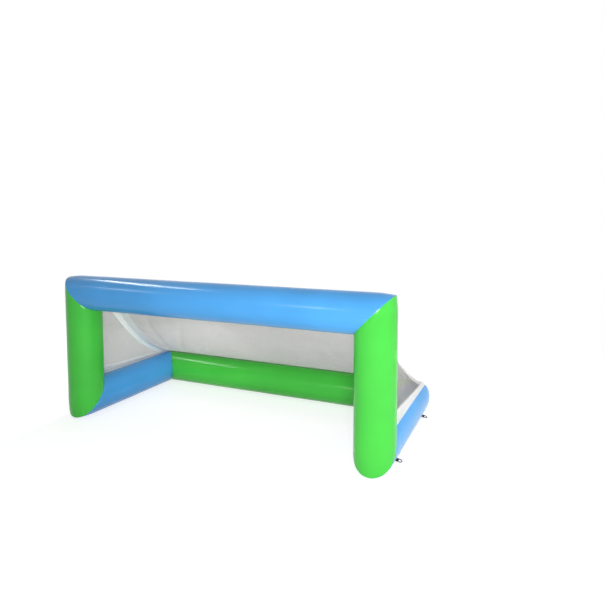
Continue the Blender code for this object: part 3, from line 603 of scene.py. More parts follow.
def tube_skin(tube, inset):
    """Grids of a tube's points and UVs, inset from its outer face."""
    start, end, hem_way, lap_way = TUBES[tube]
    direction = away(tube, start)
    up = vec(0, 0, 1) if abs(direction[2]) < 0.5 else vec(1, 0, 0)
    side = np.cross(direction, up)
    lap_turn = math.atan2(lap_way @ side, lap_way @ up)
    edge = LAP_EDGE / TUBE_RADIUS
    turns = np.linspace(0, TURN, TUBE_SECTION - 1)[1:-1]
    turns = lap_turn + np.concatenate([[0, edge], turns, [TURN - edge, TURN]])
    out = np.cos(turns)[:, None] * up + np.sin(turns)[:, None] * side
    phis, planes = [], []
    for corner in (start, end):
        outwards, across = corner_axes(tube, corner)
        phi = np.arctan2(out @ across, out @ outwards)
        radius = SKIN_RADIUS - inset - drawn_in(corner, phi, 0.0)
        normal = mitre_normal(tube, corner)
        reach = -radius * (out @ normal) / (direction @ normal)
        shut = SEAM_SHUT if corner == start else -SEAM_SHUT
        planes.append(CORNERS[corner] @ direction + reach + shut)
        phis.append(phi)
    places = ring_places(np.linalg.norm(CORNERS[end] - CORNERS[start]))[:, None]
    along = planes[0] + (planes[1] - planes[0]) * places
    from_start, from_end = along - planes[0], planes[1] - along
    inward = drawn_in(start, phis[0], from_start) + drawn_in(end, phis[1], from_end)
    seed = 40 + list(TUBES).index(tube)
    slow = waves(along, SWELL_WAVES, seed) * 0.6
    slow = slow + waves(turns + along * 2, TWIST_WAVES, seed + 9) * 0.4
    to_hem = 1 - np.clip(out @ unit(hem_way), 0, 1) ** 2
    ends = (1 - np.exp(-from_start / LAP_FADE)) * (1 - np.exp(-from_end / LAP_FADE))
    inward = inward + SWELL * (1 + slow) * to_hem * ends
    past_lap = (turns - lap_turn) * TUBE_RADIUS
    lap = np.clip(1 - past_lap / LAP_WIDTH, 0, 1) * (past_lap > 0)
    radius = SKIN_RADIUS - inset - inward + LAP_STEP * lap * ends
    base = CORNERS[start] - direction * (CORNERS[start] @ direction)
    points = base + out * radius[..., None] + direction * along[..., None]
    points[..., 2] = np.maximum(points[..., 2], inset)
    return points, stacked(along, turns * TUBE_RADIUS)


def add_tubes(finishes):
    for tube in TUBES:
        outer, uv = tube_skin(tube, 0.0)
        inner, _ = tube_skin(tube, TUBE_WALL)
        piece = shell(f"{tube}_skin", outer, inner, uv, around=True)
        finish, slot = finishes[tube]
        fit_out(piece, "goal", slot, finish, tube)


def tape_side(tube, corner, phi, along, inset):
    """Points inside a tube's skin near a mitre."""
    outwards, across = corner_axes(tube, corner)
    direction, normal = away(tube, corner), mitre_normal(tube, corner)
    out = np.cos(phi)[:, None] * outwards + np.sin(phi)[:, None] * across
    edge = SKIN_RADIUS - inset - drawn_in(corner, phi, 0.0)
    plane = -edge * (out @ normal) / (direction @ normal)
    radius = SKIN_RADIUS - inset - drawn_in(corner, phi, along)
    return CORNERS[corner] + out * radius[:, None] + direction * (plane + along)[:, None]


def add_tapes(finish):
    """The tapes inside the mitres, half on each tube."""
    phi = np.linspace(0, TURN, TAPE_SECTION + 1)
    steps = np.linspace(TAPE_WIDTH / 2, 0, TAPE_ROWS + 1)
    for node, corner in TAPES.items():
        first, second = sorted(t for t, ends in TUBES.items() if corner in ends[:2])
        faces = []
        for inset in (TUBE_WALL + GAP, TUBE_WALL + GAP + TAPE_THICKNESS):
            rows = [tape_side(first, corner, phi, s, inset) for s in steps]
            rows += [tape_side(second, corner, phi, s, inset) for s in steps[-2::-1]]
            faces.append(np.array(rows))
        uv = stacked(np.arange(len(faces[0]))[:, None] * TAPE_UV_STEP, phi * TUBE_RADIUS)
        piece = shell(f"{node}_strip", *faces, uv, around=True)
        fit_out(piece, "goal", "weld_tape", finish, node)


# Nets and bands


def on_ground_tube(angle, y, radius):
    """On the right ground tube, at an angle from its top outwards."""
    return stacked(POST_X + radius * np.sin(angle), y, GROUND_Z + radius * np.cos(angle))


def on_post(angle, z, radius):
    """On the right post, at an angle from its back outwards."""
    return stacked(POST_X + radius * np.sin(angle), FRONT_Y + radius * np.cos(angle), z)


def on_crossbar(angle, x, radius):
    """On the crossbar, at an angle from its top towards its back."""
    return stacked(x, FRONT_Y + radius * np.sin(angle), CROSSBAR_Z + radius * np.cos(angle))


def on_rear_tube(angle, x, radius):
    """On the rear tube, at an angle from its top towards its back."""
    return stacked(x, REAR_Y + radius * np.sin(angle), GROUND_Z + radius * np.cos(angle))


def clear_of_tubes(points):
    """Moves points that would be inside a tube out to where the net lies on it."""
    points = np.array(points, float)
    for tube, (start, end, *_) in TUBES.items():
        depths = [(points - CORNERS[c]) @ mitre_normal(tube, c) for c in (start, end)]
        to_mitre = np.minimum(*depths)
        direction = away(tube, start)
        across = points - CORNERS[start]
        across = across - (across @ direction)[..., None] * direction
        reach = np.linalg.norm(across, axis=-1)
        radius = NET_RADIUS + RIDGE_ROOM * np.clip(1 - to_mitre / RIDGE_REACH, 0, 1)
        inside = (to_mitre >= 0) & (reach < radius) & (reach > 0)
        grow = np.where(inside, radius / np.maximum(reach, 1e-9) - 1, 0.0)
        points = points + across * grow[..., None]
    return points


def post_line(b, radius=NET_RADIUS, beyond=0.0):
    """The line where the side net leaves the right post, from the foot, 0, to the crossbar, 1."""
    foot_z = GROUND_Z + NET_RADIUS * math.cos(HEM_LEAVES)
    top_z = CROSSBAR_Z + NET_RADIUS * math.cos(CROSSBAR_LEAVES)
    top_angle = math.pi / 2 - CROSSBAR_LEAVES
    angle = HEM_LEAVES + (top_angle - HEM_LEAVES) * b + beyond
    return on_post(angle, foot_z + (top_z - foot_z) * b, radius)


TOP_CORNER = post_line(1.0)
SEAM_TOP = vec(POST_X - SEAM_INSET, TOP_CORNER[1], TOP_CORNER[2])
SEAM_FOOT = on_ground_tube(HEM_LEAVES, REAR_Y + NET_RADIUS * math.sin(HEM_LEAVES), NET_RADIUS)


def seam(t):
    """The sagging seam between back net and right side net, from the crossbar, 0, to the
    rear corner, 1."""
    t = np.asarray(t, float)[..., None]
    hang = 4 * t * (1 - t)
    return SEAM_TOP + (SEAM_FOOT - SEAM_TOP) * t + hang * vec(SEAM_BOW, 0, -SEAM_SAG)


def flat_side(a, b):
    a = np.asarray(a, float)[..., None]
    return clear_of_tubes(post_line(b) * (1 - a) + seam(1 - b) * a)


def flat_back(a, b):
    right = seam(1 - b)
    lift = (SEAM_SAG - BACK_NET_SAG) * 4 * b * (1 - b) * 4 * a * (1 - a)
    return clear_of_tubes(stacked(right[..., 0] * (2 * a - 1), right[..., 1], right[..., 2] + lift))


# Creases of the nets: where each starts at the foot and ends at the head, in metres from the
# left seam (back net) or from the post (side nets), its half width, its height and how far up
# it is highest, as a share of the way
BACK_CREASES = (
    (0.110, 0.250, 0.070, 0.014, 0.50),
    (0.112, 0.252, 0.024, 0.009, 0.40),
    (0.050, 0.150, 0.020, 0.006, 0.35),
    (0.190, 0.640, 0.045, 0.008, 0.30),
    (0.230, 1.150, 0.050, 0.006, 0.35),
    (0.700, 0.560, 0.120, 0.005, 0.70),
    (1.250, 1.180, 0.140, 0.006, 0.65),
    (1.960, 1.480, 0.060, 0.006, 0.35),
    (2.030, 1.800, 0.045, 0.008, 0.40),
)
SIDE_CREASES = (
    (0.700, 0.090, 0.040, 0.007, 0.35),
    (0.560, 0.040, 0.050, 0.006, 0.45),
    (0.300, 0.020, 0.060, 0.004, 0.50),
)
CALM = 0.060  # beside hems and bands, where the net lies flat
CALM_FADE = 0.090
CREASE_MARGIN = 0.02  # from a net's edges to where creases begin
SCALLOP = 0.0022  # small waves where the net is sewn to its hems
SCALLOP_PITCH = 0.085
SCALLOP_WAVES = (1.0, 0.62, 1.37)  # per pitch
SCALLOP_REACH = 0.120
SCALLOP_FADE = 0.03
SCALLOP_END_FADE = 0.05


def lines_across(length, start, end):
    """Grid lines over a sheet, from start metres after one edge to end metres before the
    other. Each line is at metres + share * length."""
    count = max(2, round((length - start - end) / NET_STEP))
    share = np.linspace(0, 1, count + 1)
    return start * (1 - share) - end * share, share


def lines_beside(start, end, step, share=0):
    """Grid lines from start to end metres past a sheet's first edge, or its last for share 1."""
    metres = np.linspace(start, end, round(abs(end - start) / step) + 1)
    return metres, metres * 0 + share


def line_length(sheet, a=None, b=None):
    steps = np.linspace(0, 1, 41)
    line = sheet(steps * 0 + a, steps) if b is None else sheet(steps, steps * 0 + b)
    return np.linalg.norm(np.diff(line, axis=0), axis=1).sum()


class Surface:
    """One net's surface. a runs across it and b up it, from 0 to 1. side is the sign that
    turns its normals outwards."""

    def __init__(self, flat, creases, side, seed):
        self.flat = flat
        self.creases = creases
        self.side = side
        self.seed = seed
        self.table = np.linspace(0, 1, LENGTH_SAMPLES)
        self.widths = np.array([line_length(flat, b=t) for t in self.table])
        self.heights = np.array([line_length(flat, a=t) for t in self.table])

    def grid(self, columns, rows):
        """The shares a and b of each crossing of grid lines, and the lengths there."""
        column_metres, column_share = (part[:, None] for part in columns)
        row_metres, row_share = rows
        a, b = np.broadcast_arrays(column_share, row_share)
        for _ in range(GRID_ROUNDS):
            across = np.interp(b, self.table, self.widths)
            up = np.interp(a, self.table, self.heights)
            a = np.clip(column_metres / across + column_share, 0, 1)
            b = np.clip(row_metres / up + row_share, 0, 1)
        return a, b, across, up

    def normals(self, a, b):
        """Unit normals of the net as it is without its creases."""
        less_a, more_a = (np.clip(a + step, 0, 1) for step in (-NORMAL_STEP, NORMAL_STEP))
        less_b, more_b = (np.clip(b + step, 0, 1) for step in (-NORMAL_STEP, NORMAL_STEP))
        along = self.flat(more_a, b) - self.flat(less_a, b)
        up = self.flat(a, more_b) - self.flat(a, less_b)
        return unit(np.cross(along, up) * self.side)

    def lift(self, x, y, b, across, up):
        """How far out the creases, and the small waves beside the hems, stand. x and y are
        in metres."""
        lift = np.zeros(x.shape)
        for foot, head, half, height, peak in self.creases:
            line = foot + (head - foot) * b
            rise = bell(np.where(b < peak, (peak - b) / peak, (b - peak) / (1 - peak)))
            lift = lift + height * bell((x - line) / half) * rise
        to_end = np.minimum(np.minimum(x, across - x), np.minimum(y, up - y))
        lift = lift * smooth_step((to_end - CREASE_MARGIN) / CALM_FADE)
        beat = waves(x / SCALLOP_PITCH * TURN, SCALLOP_WAVES, self.seed)
        fade = smooth_step((to_end - CALM) / SCALLOP_END_FADE)
        for past in (y - CALM, up - y - CALM):
            band = smooth_step(past / SCALLOP_FADE) * np.exp(-np.clip(past, 0, 1) / SCALLOP_REACH)
            lift = lift + SCALLOP * np.clip(beat + 0.3, 0, 1) * band * fade
        return lift

    def layer(self, columns, rows, offset=0.0):
        """Points at an offset from the net as it is without its creases, and the normals."""
        a, b, _, _ = self.grid(columns, rows)
        normals = self.normals(a, b)
        return self.flat(a, b) + normals * offset, normals

    def net(self, columns, rows):
        """The net's points and UVs, with the rows that lap up over the crossbar's hem."""
        a, b, across, up = self.grid(columns, rows)
        x, y = a * across, b * up
        lift = self.lift(x, y, b, across, up)[..., None]
        points, uv = [self.flat(a, b) + self.normals(a, b) * lift], [stacked(x, y)]
        angles = np.linspace(CROSSBAR_LEAVES, CROSSBAR_LEAVES - CROSSBAR_LAP, LAP_ROWS + 1)
        for k, angle in enumerate(angles[1:], 1):
            points.append(on_crossbar(angle, points[0][:, -1, 0], NET_RADIUS)[:, None])
            uv.append(uv[0][:, -1:] + vec(0, k * NET_RADIUS * (CROSSBAR_LAP / LAP_ROWS)))
        return np.concatenate(points, 1), np.concatenate(uv, 1)


SIDE = Surface(flat_side, SIDE_CREASES, 1, 3)
BACK = Surface(flat_back, BACK_CREASES, -1, 4)
NET_HEIGHT = SIDE.heights.max()
SIDE_COLUMNS = lines_across(SIDE.widths.max(), 0.0, SEAM_CLEAR)
BACK_COLUMNS = lines_across(BACK.widths.max(), SEAM_CLEAR, SEAM_CLEAR)


def edge_distances(points):
    """Each grid point's distances from the first and last row and the first and last column."""
    down, over = run_lengths(points), run_lengths(points, 1)
    return down, down[-1:] - down, over, over[:, -1:] - over


def sheet_area(points):
    """The area of a grid of points, its widest row and its first column."""
    start = points[:-1, :-1]
    far = points[1:, 1:] - start
    one = np.cross(points[1:, :-1] - start, far)
    two = np.cross(far, points[:-1, 1:] - start)
    area = (np.linalg.norm(one, axis=-1) + np.linalg.norm(two, axis=-1)).sum() / 2
    lines = np.linalg.norm(np.diff(points, axis=0), axis=-1).sum(0)
    columns = np.linalg.norm(np.diff(points, axis=1), axis=-1).sum(1)
    return area, lines.max(), columns[0]


def add_net(name, points, uv, side, flip, beside, finish):
    """A net of faces with no thickness of their own, mirrored for side -1. beside is the
    width of the band along its first row. Gives its piece, its area and its sizes."""
    piece = sheet_of(f"{name}_mesh", points * vec(side, 1, 1), uv, 80, flip)
    distances = edge_distances(points)
    set_attribute(piece, BORDER, np.minimum.reduce(distances))
    bands = beside, CORNER_BAND_WIDTH, GROUND_HEM_FLAP
    inside = [width - distance for width, distance in zip(bands, distances)]
    set_attribute(piece, BACKING, np.maximum.reduce(inside))
    fit_out(piece, "goal", "white_mesh", finish, f"{name}_net")
    return piece, sheet_area(points)


def add_nets(finish):
    rows = lines_across(NET_HEIGHT, 0.0, 0.0)
    grid = SIDE.net(SIDE_COLUMNS, rows)
    made = {}
    for name, side in SIDES.items():
        made[name] = add_net(f"{name}_side", *grid, side, side < 0, POST_HEM_FLAP, finish)
    grid = BACK.net(BACK_COLUMNS, rows)
    made["back"] = add_net("back", *grid, 1, True, CORNER_BAND_WIDTH, finish)
    return made


def add_strip(node, points, towards, finish, side=1):
    """A white band about a grid of its middle points, mirrored for side -1. Its outer face
    is the one that looks towards."""
    turn = np.cross(np.gradient(points, axis=0), np.gradient(points, axis=1))
    normals = turn / np.maximum(np.linalg.norm(turn, axis=-1, keepdims=True), 1e-12)
    sign = np.sign((normals * towards).sum(-1, keepdims=True))
    normals = normals * np.where(sign == 0, 1, sign)
    half, mirror = normals * (BAND_THICKNESS / 2), vec(side, 1, 1)
    uv = stacked(run_lengths(points, 1), run_lengths(points))
    flip = side * (turn * normals).sum() < 0
    outer, inner = (points + half) * mirror, (points - half) * mirror
    piece = shell(f"{node}_strip", outer, inner, uv, flip=flip)
    border = np.minimum.reduce(edge_distances(points))
    set_attribute(piece, BORDER, np.stack([border, border]))
    fit_out(piece, "goal", "white_band", finish, node)


def add_strips(kind, points, towards, finish):
    for name, side in SIDES.items():
        add_strip(f"{name}_{kind}", points, towards, finish, side)


def weld_rows(edge, place):
    """Rows of a hem from its weld's far edge, flat on the tube, up to where it leaves."""
    low = BAND_LOW + BAND_THICKNESS / 2
    rise = NET_RADIUS + BAND_OFFSET - low
    shares = [k / WELD_ROWS for k in range(WELD_ROWS)]
    return np.stack([place(HEM_WELD * (1 - t), edge, low + rise * t**2) for t in shares], 1)


def add_ground_hems(finish):
    """Hems welded to the ground tubes and sewn to the nets' outer faces."""
    rows = lines_beside(0.0, GROUND_HEM_FLAP, HEM_STEP)

    def on_side(beyond, edge, radius):
        return on_ground_tube(HEM_LEAVES + beyond, edge[:, 1], radius)

    def on_rear(beyond, edge, radius):
        return on_rear_tube(HEM_LEAVES + beyond, edge[:, 0], radius)

    hems = []
    for surface, columns, place in ((SIDE, SIDE_COLUMNS, on_side), (BACK, BACK_COLUMNS, on_rear)):
        flap, _ = surface.layer(columns, rows, BAND_OFFSET)
        hems.append(np.concatenate([weld_rows(flap[:, 0], place), flap], 1))
    add_strips("ground_hem", hems[0], vec(1, 0, 0.3), finish)
    add_strip("rear_ground_hem", hems[1], vec(0, 0.5, 1), finish)


def add_post_hems(finish):
    rows = lines_across(NET_HEIGHT, GROUND_HEM_FLAP, HEM_CLEAR)
    flap, _ = SIDE.layer(lines_beside(0.0, POST_HEM_FLAP, HEM_STEP), rows, BAND_OFFSET)
    foot_z, top_z = post_line(0.0)[2], post_line(1.0)[2]

    def on_back(beyond, edge, radius):
        return post_line((edge[:, 2] - foot_z) / (top_z - foot_z), radius, beyond)

    welded = np.swapaxes(weld_rows(flap[0], on_back), 0, 1)
    add_strips("post_hem", np.concatenate([welded, flap]), vec(0.5, 1, 0), finish)


def add_crossbar_hem(finish):
    angles = np.linspace(CROSSBAR_LEAVES, CROSSBAR_LEAVES - CROSSBAR_WELD, 12)
    reach = TOP_CORNER[0] - HEM_CLEAR
    x = np.linspace(-reach, reach, 121)[:, None]
    points = on_crossbar(angles, x, BAND_LOW + BAND_THICKNESS / 2)
    add_strip("crossbar_hem", points, vec(0, 1, 0), finish)


def add_corner_bands(finish):
    """Strips inside the seams, folded along them, from the hems up to the crossbar."""
    rows = lines_across(NET_HEIGHT, GROUND_HEM_FLAP + BAND_CLEAR, HEM_CLEAR)
    ends = lines_beside(-CORNER_BAND_WIDTH, -SEAM_CLEAR, BAND_STEP, 1)
    seam_line = lines_beside(0.0, 0.0, BAND_STEP, 1)
    side_part, _ = SIDE.layer(ends, rows, -BAND_OFFSET)
    back_part, _ = BACK.layer(ends, rows, -BAND_OFFSET)
    edge, side_normal = SIDE.layer(seam_line, rows)
    _, back_normal = BACK.layer(seam_line, rows)
    fold = side_normal + back_normal
    fold = fold / (1 + (side_normal * back_normal).sum(-1, keepdims=True))
    points = np.concatenate([side_part, edge - fold * BAND_OFFSET, back_part[::-1]])
    add_strips("corner_band", np.swapaxes(points, 0, 1), vec(0.5, 1, 1), finish)


# Ground anchors


def on_foot(angle, radius):
    """(out, z) on a ground tube, at an angle from straight down outwards."""
    return stacked(radius * np.sin(angle), GROUND_Z - radius * np.cos(angle))


def ring_centre():
    leave = on_foot(WEBBING_LEAVES, BAND_LOW - GAP)
    return vec(leave[0] + WEBBING_REACH, BAR_HEIGHT)


def beside_tube(side, spots, y):
    """Points on a side's ground tube from (out, z) spots."""
    return stacked(side * (POST_X + spots[..., 0]), y, spots[..., 1])


def add_patch(stem, side, finish):
    """A welded patch with round corners and a pressed border."""
    low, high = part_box(f"{stem}_patch")
    half_y, centre_y = (high.y - low.y) / 2, (high.y + low.y) / 2
    half_arc = (PATCH_LAST - PATCH_FIRST) / 2 * BAND_LOW
    border = vec(0.0, 0.0006, 0.002, 0.0045)
    inside = np.linspace(PATCH_CORNER, half_arc * 2 - PATCH_CORNER, 13)
    arc = np.concatenate([border, inside, half_arc * 2 - border[::-1]])[:, None] - half_arc
    across = np.linspace(-1, 1, 31)
    short = np.clip(np.abs(arc) - (half_arc - PATCH_CORNER), 0, None)
    reach = half_y - PATCH_CORNER + np.sqrt(np.clip(PATCH_CORNER**2 - short**2, 0, None))
    y = centre_y + across * reach
    to_edge = np.minimum(half_arc - np.abs(arc), reach * (1 - np.abs(across)))
    rise = PATCH_THICKNESS * smooth_step(to_edge / PATCH_EDGE) + 0.0001
    rise = rise - PRESSED_DEPTH * bell((to_edge - PRESSED_INSET) / PRESSED_HALF)
    angle = (PATCH_FIRST + PATCH_LAST) / 2 + arc / BAND_LOW + 0 * y
    outer = beside_tube(side, on_foot(angle, BAND_LOW + rise), y)
    inner = beside_tube(side, on_foot(angle, BAND_LOW - 0.0002), y)
    piece = shell(f"{stem}_patch_skin", outer, inner, stacked(y, arc), flip=side > 0)
    fit_out(piece, "goal", "black_pvc", finish, f"{stem}_patch")


def webbing_line():
    """The webbing's middle line: down the patch, out and round the ring's bar, and back."""
    radius = BAND_LOW + PATCH_THICKNESS + GAP + WEBBING_THICKNESS / 2
    wrap = RING_WIRE_RADIUS + GAP + WEBBING_THICKNESS / 2
    centre = ring_centre()
    upper = [on_foot(WEBBING_LEAVES + FLAT * k, radius) for k in (2.0, 1.5, 1.0, 0.5, 0.0)]
    lower = [on_foot(WEBBING_LEAVES - FLAT * k, radius) for k in (1.0, 1.5, 2.0)]
    ends = []
    for leg, sense in ((upper[-1], 1), (lower[0], -1)):
        back = leg - centre
        ends.append(math.atan2(back[1], back[0]) - sense * math.acos(wrap / np.linalg.norm(back)))
    first, last = ends
    last -= TURN if last > first else 0.0
    turns = np.linspace(first, last, 25)
    wrapped = [centre + wrap * vec(math.cos(t), math.sin(t)) for t in turns]
    line = []
    for a, b in zip([*upper, wrapped[0]], [*upper[1:], wrapped[0], wrapped[0]]):
        line += [a + (b - a) * k / 3 for k in range(3)] if np.linalg.norm(b - a) > 1e-6 else []
    line += wrapped
    tail = [wrapped[-1], *lower]
    for a, b in zip(tail, tail[1:]):
        line += [a + (b - a) * k / 3 for k in (1, 2, 3)]
    return np.array(line)


def add_loop(stem, side, finish):
    """The webbing loop: a strap with rounded edges, folded round the ring's bar."""
    low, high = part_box(f"{stem}_loop")
    line = webbing_line()
    tangent = unit(np.gradient(line, axis=0))
    normal = np.stack([-tangent[:, 1], tangent[:, 0]], -1)
    centre_y, half_y = (low.y + high.y) / 2, (high.y - low.y) / 2
    edge = vec(0.95, 0.985, 1.0)
    across = np.concatenate([-edge[::-1], np.linspace(-0.88, 0.88, 15), edge])
    past_flat = np.clip((np.abs(across) - (1 - WEBBING_EDGE)) / WEBBING_EDGE, 0, 1)
    round_edge = np.sqrt(np.clip(1 - past_flat**2, 0.02, 1))
    ribs = 1 + WEBBING_RIB * np.cos(across * WEBBING_RIBS)
    thick = WEBBING_THICKNESS / 2 * round_edge * ribs
    faces = []
    for sign in (1, -1):
        spots = line[:, None] + sign * normal[:, None] * thick[None, :, None]
        faces.append(beside_tube(side, spots, centre_y + half_y * across))
    uv = stacked(half_y * across, run_lengths(line)[:, None])
    piece = shell(f"{stem}_strap", *faces, uv, flip=side > 0)
    fit_out(piece, "goal", "black_webbing", finish, f"{stem}_loop")


def wire(name, line, out, side, radius, corners, width=1.0):
    """A round wire along a line. out and side lie across it, and width is its share of the
    radius at each point."""
    turns = np.linspace(0, TURN, corners + 1)
    ring = np.cos(turns)[:, None] * out[:, None] + np.sin(turns)[:, None] * side[:, None]
    reach = np.broadcast_to(width * radius, len(line))
    points = line[:, None] + ring * reach[:, None, None]
    made = sheet_of(name, points, stacked(run_lengths(line)[:, None], turns * radius), 60)
    clean(made.data, outwards=True)
    return made


def add_ring(stem, side, finish, body):
    """The D-ring of round wire, its bar in the webbing and its bow on the ground."""
    centre = ring_centre()
    tilt = math.asin((BAR_HEIGHT - RING_WIRE_RADIUS - GAP) / RING_REACH)
    straight = RING_HALF_BAR - RING_CORNER
    reach = RING_REACH - RING_CORNER
    quarter = np.linspace(0, math.pi / 2, 9)[1:]
    corner = [
        (RING_CORNER * (1 - math.cos(t)), straight + RING_CORNER * math.sin(t)) for t in quarter
    ]
    bow = np.linspace(0, math.pi, 41)[1:-1]
    flat = [(0.0, v) for v in np.linspace(-straight, straight, 13)] + corner
    flat += [(RING_CORNER + reach * math.sin(t), RING_HALF_BAR * math.cos(t)) for t in bow]
    flat += [(u, -v) for u, v in reversed(corner)]
    u, v = np.array(flat).T
    line = stacked(
        side * (POST_X + centre[0] + u * math.cos(tilt)),
        middle(f"{stem}_ring").y + v,
        centre[1] - u * math.sin(tilt),
    )
    normal = np.broadcast_to(vec(side * math.sin(tilt), 0, math.cos(tilt)), line.shape)
    out = np.cross(unit(np.roll(line, -1, 0) - np.roll(line, 1, 0)), normal)
    closed = np.append(np.arange(len(line)), 0)
    piece = wire(f"{stem}_d_ring", line[closed], out[closed], normal[closed], RING_WIRE_RADIUS, 18)
    fit_out(piece, body, "coated_steel", finish, f"{stem}_ring")


def add_anchors(pvc, webbing, steel):
    for name, side in SIDES.items():
        for end in ("front", "rear"):
            stem = f"{name}_{end}_anchor"
            add_patch(stem, side, pvc)
            add_loop(stem, side, webbing)
            add_ring(stem, side, steel, f"{name}_{end}_ring")


# Valve on the back of the left post

VALVE_X = middle("valve_cap").x
VALVE_Z = middle("valve_cap").z
SURFACE = FRONT_Y + TUBE_RADIUS  # of the post, right behind its axis
BOSS_RADIUS = 0.0165
BORE_RADIUS = 0.0130
FLANGE_TOP = SURFACE + 0.0020
CAP_RIBS = 30
CAP_RIB_DEPTH = 0.0010
CAP_THREADS = 4
CAP_THREAD_PITCH = 0.0018
SPRING_WIRE = 0.0004
SPRING_TURNS = 5
HOLE_RADIUS = 0.0133  # through the post's wall, inside the valve's flange
HOLE_REACH = 0.006  # to either side of the post's surface


def turned(name, profile, steps, shape=None):
    """A closed outline of (radius, y) points turned about the valve's axis."""
    outline = np.array(profile, float)
    turns = np.linspace(0, TURN, steps + 1)[:, None]
    radius, height, _ = np.broadcast_arrays(*outline.T, turns)
    if shape is not None:
        radius, height = shape(turns, radius, height)
    points = stacked(VALVE_X + radius * np.cos(turns), height, VALVE_Z + radius * np.sin(turns))
    made = sheet_of(name, points, stacked(turns * 0.02, run_lengths(outline)), 40)
    clean(made.data, 2e-6, outwards=True)
    return made


def arc(centre_r, centre_y, radius, start, end, steps=5):
    """Points of a round edge in a valve's outline, angles in degrees."""
    turns = np.radians(np.linspace(start, end, steps))
    return [(centre_r + radius * math.cos(t), centre_y + radius * math.sin(t)) for t in turns]


def cut_valve_hole(post):
    """The round hole in the post's wall in which the valve sits."""
    low, high = SURFACE - HOLE_REACH, SURFACE + HOLE_REACH
    profile = [(0.0, low), (HOLE_RADIUS, low), (HOLE_RADIUS, high), (0.0, high)]
    cutter = turned("valve_hole", profile, 64)
    cut = post.modifiers.new("valve_hole", "BOOLEAN")
    cut.operation = "DIFFERENCE"
    cut.object = cutter
    bpy.context.view_layer.update()
    graph = bpy.context.evaluated_depsgraph_get()
    made = bpy.data.meshes.new_from_object(post.evaluated_get(graph))
    post.modifiers.clear()
    post.data = made
    bpy.data.objects.remove(cutter)


def add_flange(finish):
    """The valve's base: a boss on a flange that follows the post."""
    low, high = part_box("valve_base")
    flange = (high.x - low.x) / 2
    edge = 0.0008

    def on_post_skin(turns, radius, height):
        x = radius * np.cos(turns)
        drop = TUBE_RADIUS - np.sqrt(TUBE_RADIUS**2 - x**2)
        follows = smooth_step((radius - BOSS_RADIUS - 0.001) / 0.004)
        follows = follows + (height < SURFACE + 0.0001) * 1.0
        return radius, height - drop * np.clip(follows, 0, 1)

    profile = [(BORE_RADIUS, SURFACE - 0.001), (flange, SURFACE - 0.0004)]
    profile += [(flange, SURFACE + 0.0006)] + arc(flange - edge, SURFACE + edge, edge, 0, 90)
    for inwards, drop in ((0.003, 0.0003), (0.0038, 0.0008), (0.0046, 0.0003), (0.007, 0.0)):
        profile.append((flange - inwards, FLANGE_TOP - drop))
    profile.append((BOSS_RADIUS + 0.003, FLANGE_TOP + 0.0002))
    profile += arc(BOSS_RADIUS + 0.002, FLANGE_TOP + 0.0022, 0.002, 270, 180)
    profile += arc(BOSS_RADIUS - edge, high.y - edge, edge, 0, 90)
    profile += arc(BORE_RADIUS + edge, high.y - edge, edge, 90, 180)
    profile.append((BORE_RADIUS, SURFACE - 0.001))
    piece = turned("valve_flange", profile, 96, on_post_skin)
    fit_out(piece, "goal", "valve_soft", finish, "valve_base")


def add_cap(finish):
    """The cap, with grip ribs, a dished top and thread inside."""
    box_low, box_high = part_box("valve_cap")
    radius = (box_high.x - box_low.x) / 2
    low, high = box_low.y, box_high.y
    ceiling = high - 0.0025
    inner = BOSS_RADIUS + 0.0005

    def ribs(turns, r, h):
        outer = r > radius - 0.0009
        beside = smooth_step((h - low - 0.001) / 0.001) * smooth_step((high - 0.0020 - h) / 0.001)
        wave = smooth_step(np.cos(turns * CAP_RIBS) * 1.2 + 0.5)
        return r - outer * beside * wave * CAP_RIB_DEPTH, h

    profile = [(0.0, high - 0.0012), (0.010, high - 0.0012), (0.0125, high - 0.0011)]
    profile += arc(0.0135, high - 0.0006, 0.0006, 160, 90, 4)
    profile += arc(radius - 0.0016, high - 0.0016, 0.0016, 90, 0, 6)
    profile += [(radius, high - 0.002 - k * (high - low - 0.004) / 8) for k in range(9)]
    profile += arc(radius - 0.0007, low + 0.0007, 0.0007, 0, -90, 4)
    profile += arc(inner + 0.0006, low + 0.0006, 0.0006, -90, -180, 4)
    for k in range(CAP_THREADS):
        y = low + 0.0018 + k * CAP_THREAD_PITCH
        profile += [(inner, y), (inner + 0.0004, y + 0.0005), (inner, y + 0.0010)]
    profile += [(inner, ceiling), (0.0, ceiling)]
    piece = turned("valve_cap_ribbed", profile, 180, ribs)
    fit_out(piece, "cap", "valve_soft", finish, "valve_cap")


def add_spring(finish):
    """The coil under the valve's button, which shortens as the button is pushed."""
    low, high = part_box("valve_spring")
    radius = (high.x - low.x) / 2 - SPRING_WIRE
    share = np.linspace(0, 1, SPRING_TURNS * 32 + 1)
    turns = share * TURN * SPRING_TURNS
    rise = high.y - low.y - 2 * SPRING_WIRE
    height = low.y + SPRING_WIRE + rise * share
    line = stacked(VALVE_X + radius * np.cos(turns), height, VALVE_Z + radius * np.sin(turns))
    out = stacked(np.cos(turns), 0, np.sin(turns))
    tangent = unit(np.gradient(line, axis=0))
    round_end = np.radians([90, 60, 30])
    places = np.concatenate([np.zeros(3, int), np.arange(len(line)), np.full(3, len(line) - 1)])
    beyond = np.concatenate([-np.sin(round_end), 0 * share, np.sin(round_end[::-1])])
    width = np.concatenate([np.cos(round_end), 0 * share + 1, np.cos(round_end[::-1])])
    side = np.cross(tangent, out)
    line = line[places] + tangent[places] * (beyond * SPRING_WIRE)[:, None]
    made = wire("valve_coil", line, out[places], side[places], SPRING_WIRE, 12, width)
    fit_out(made, "goal", "spring_steel", finish, "valve_spring")
    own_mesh(made)


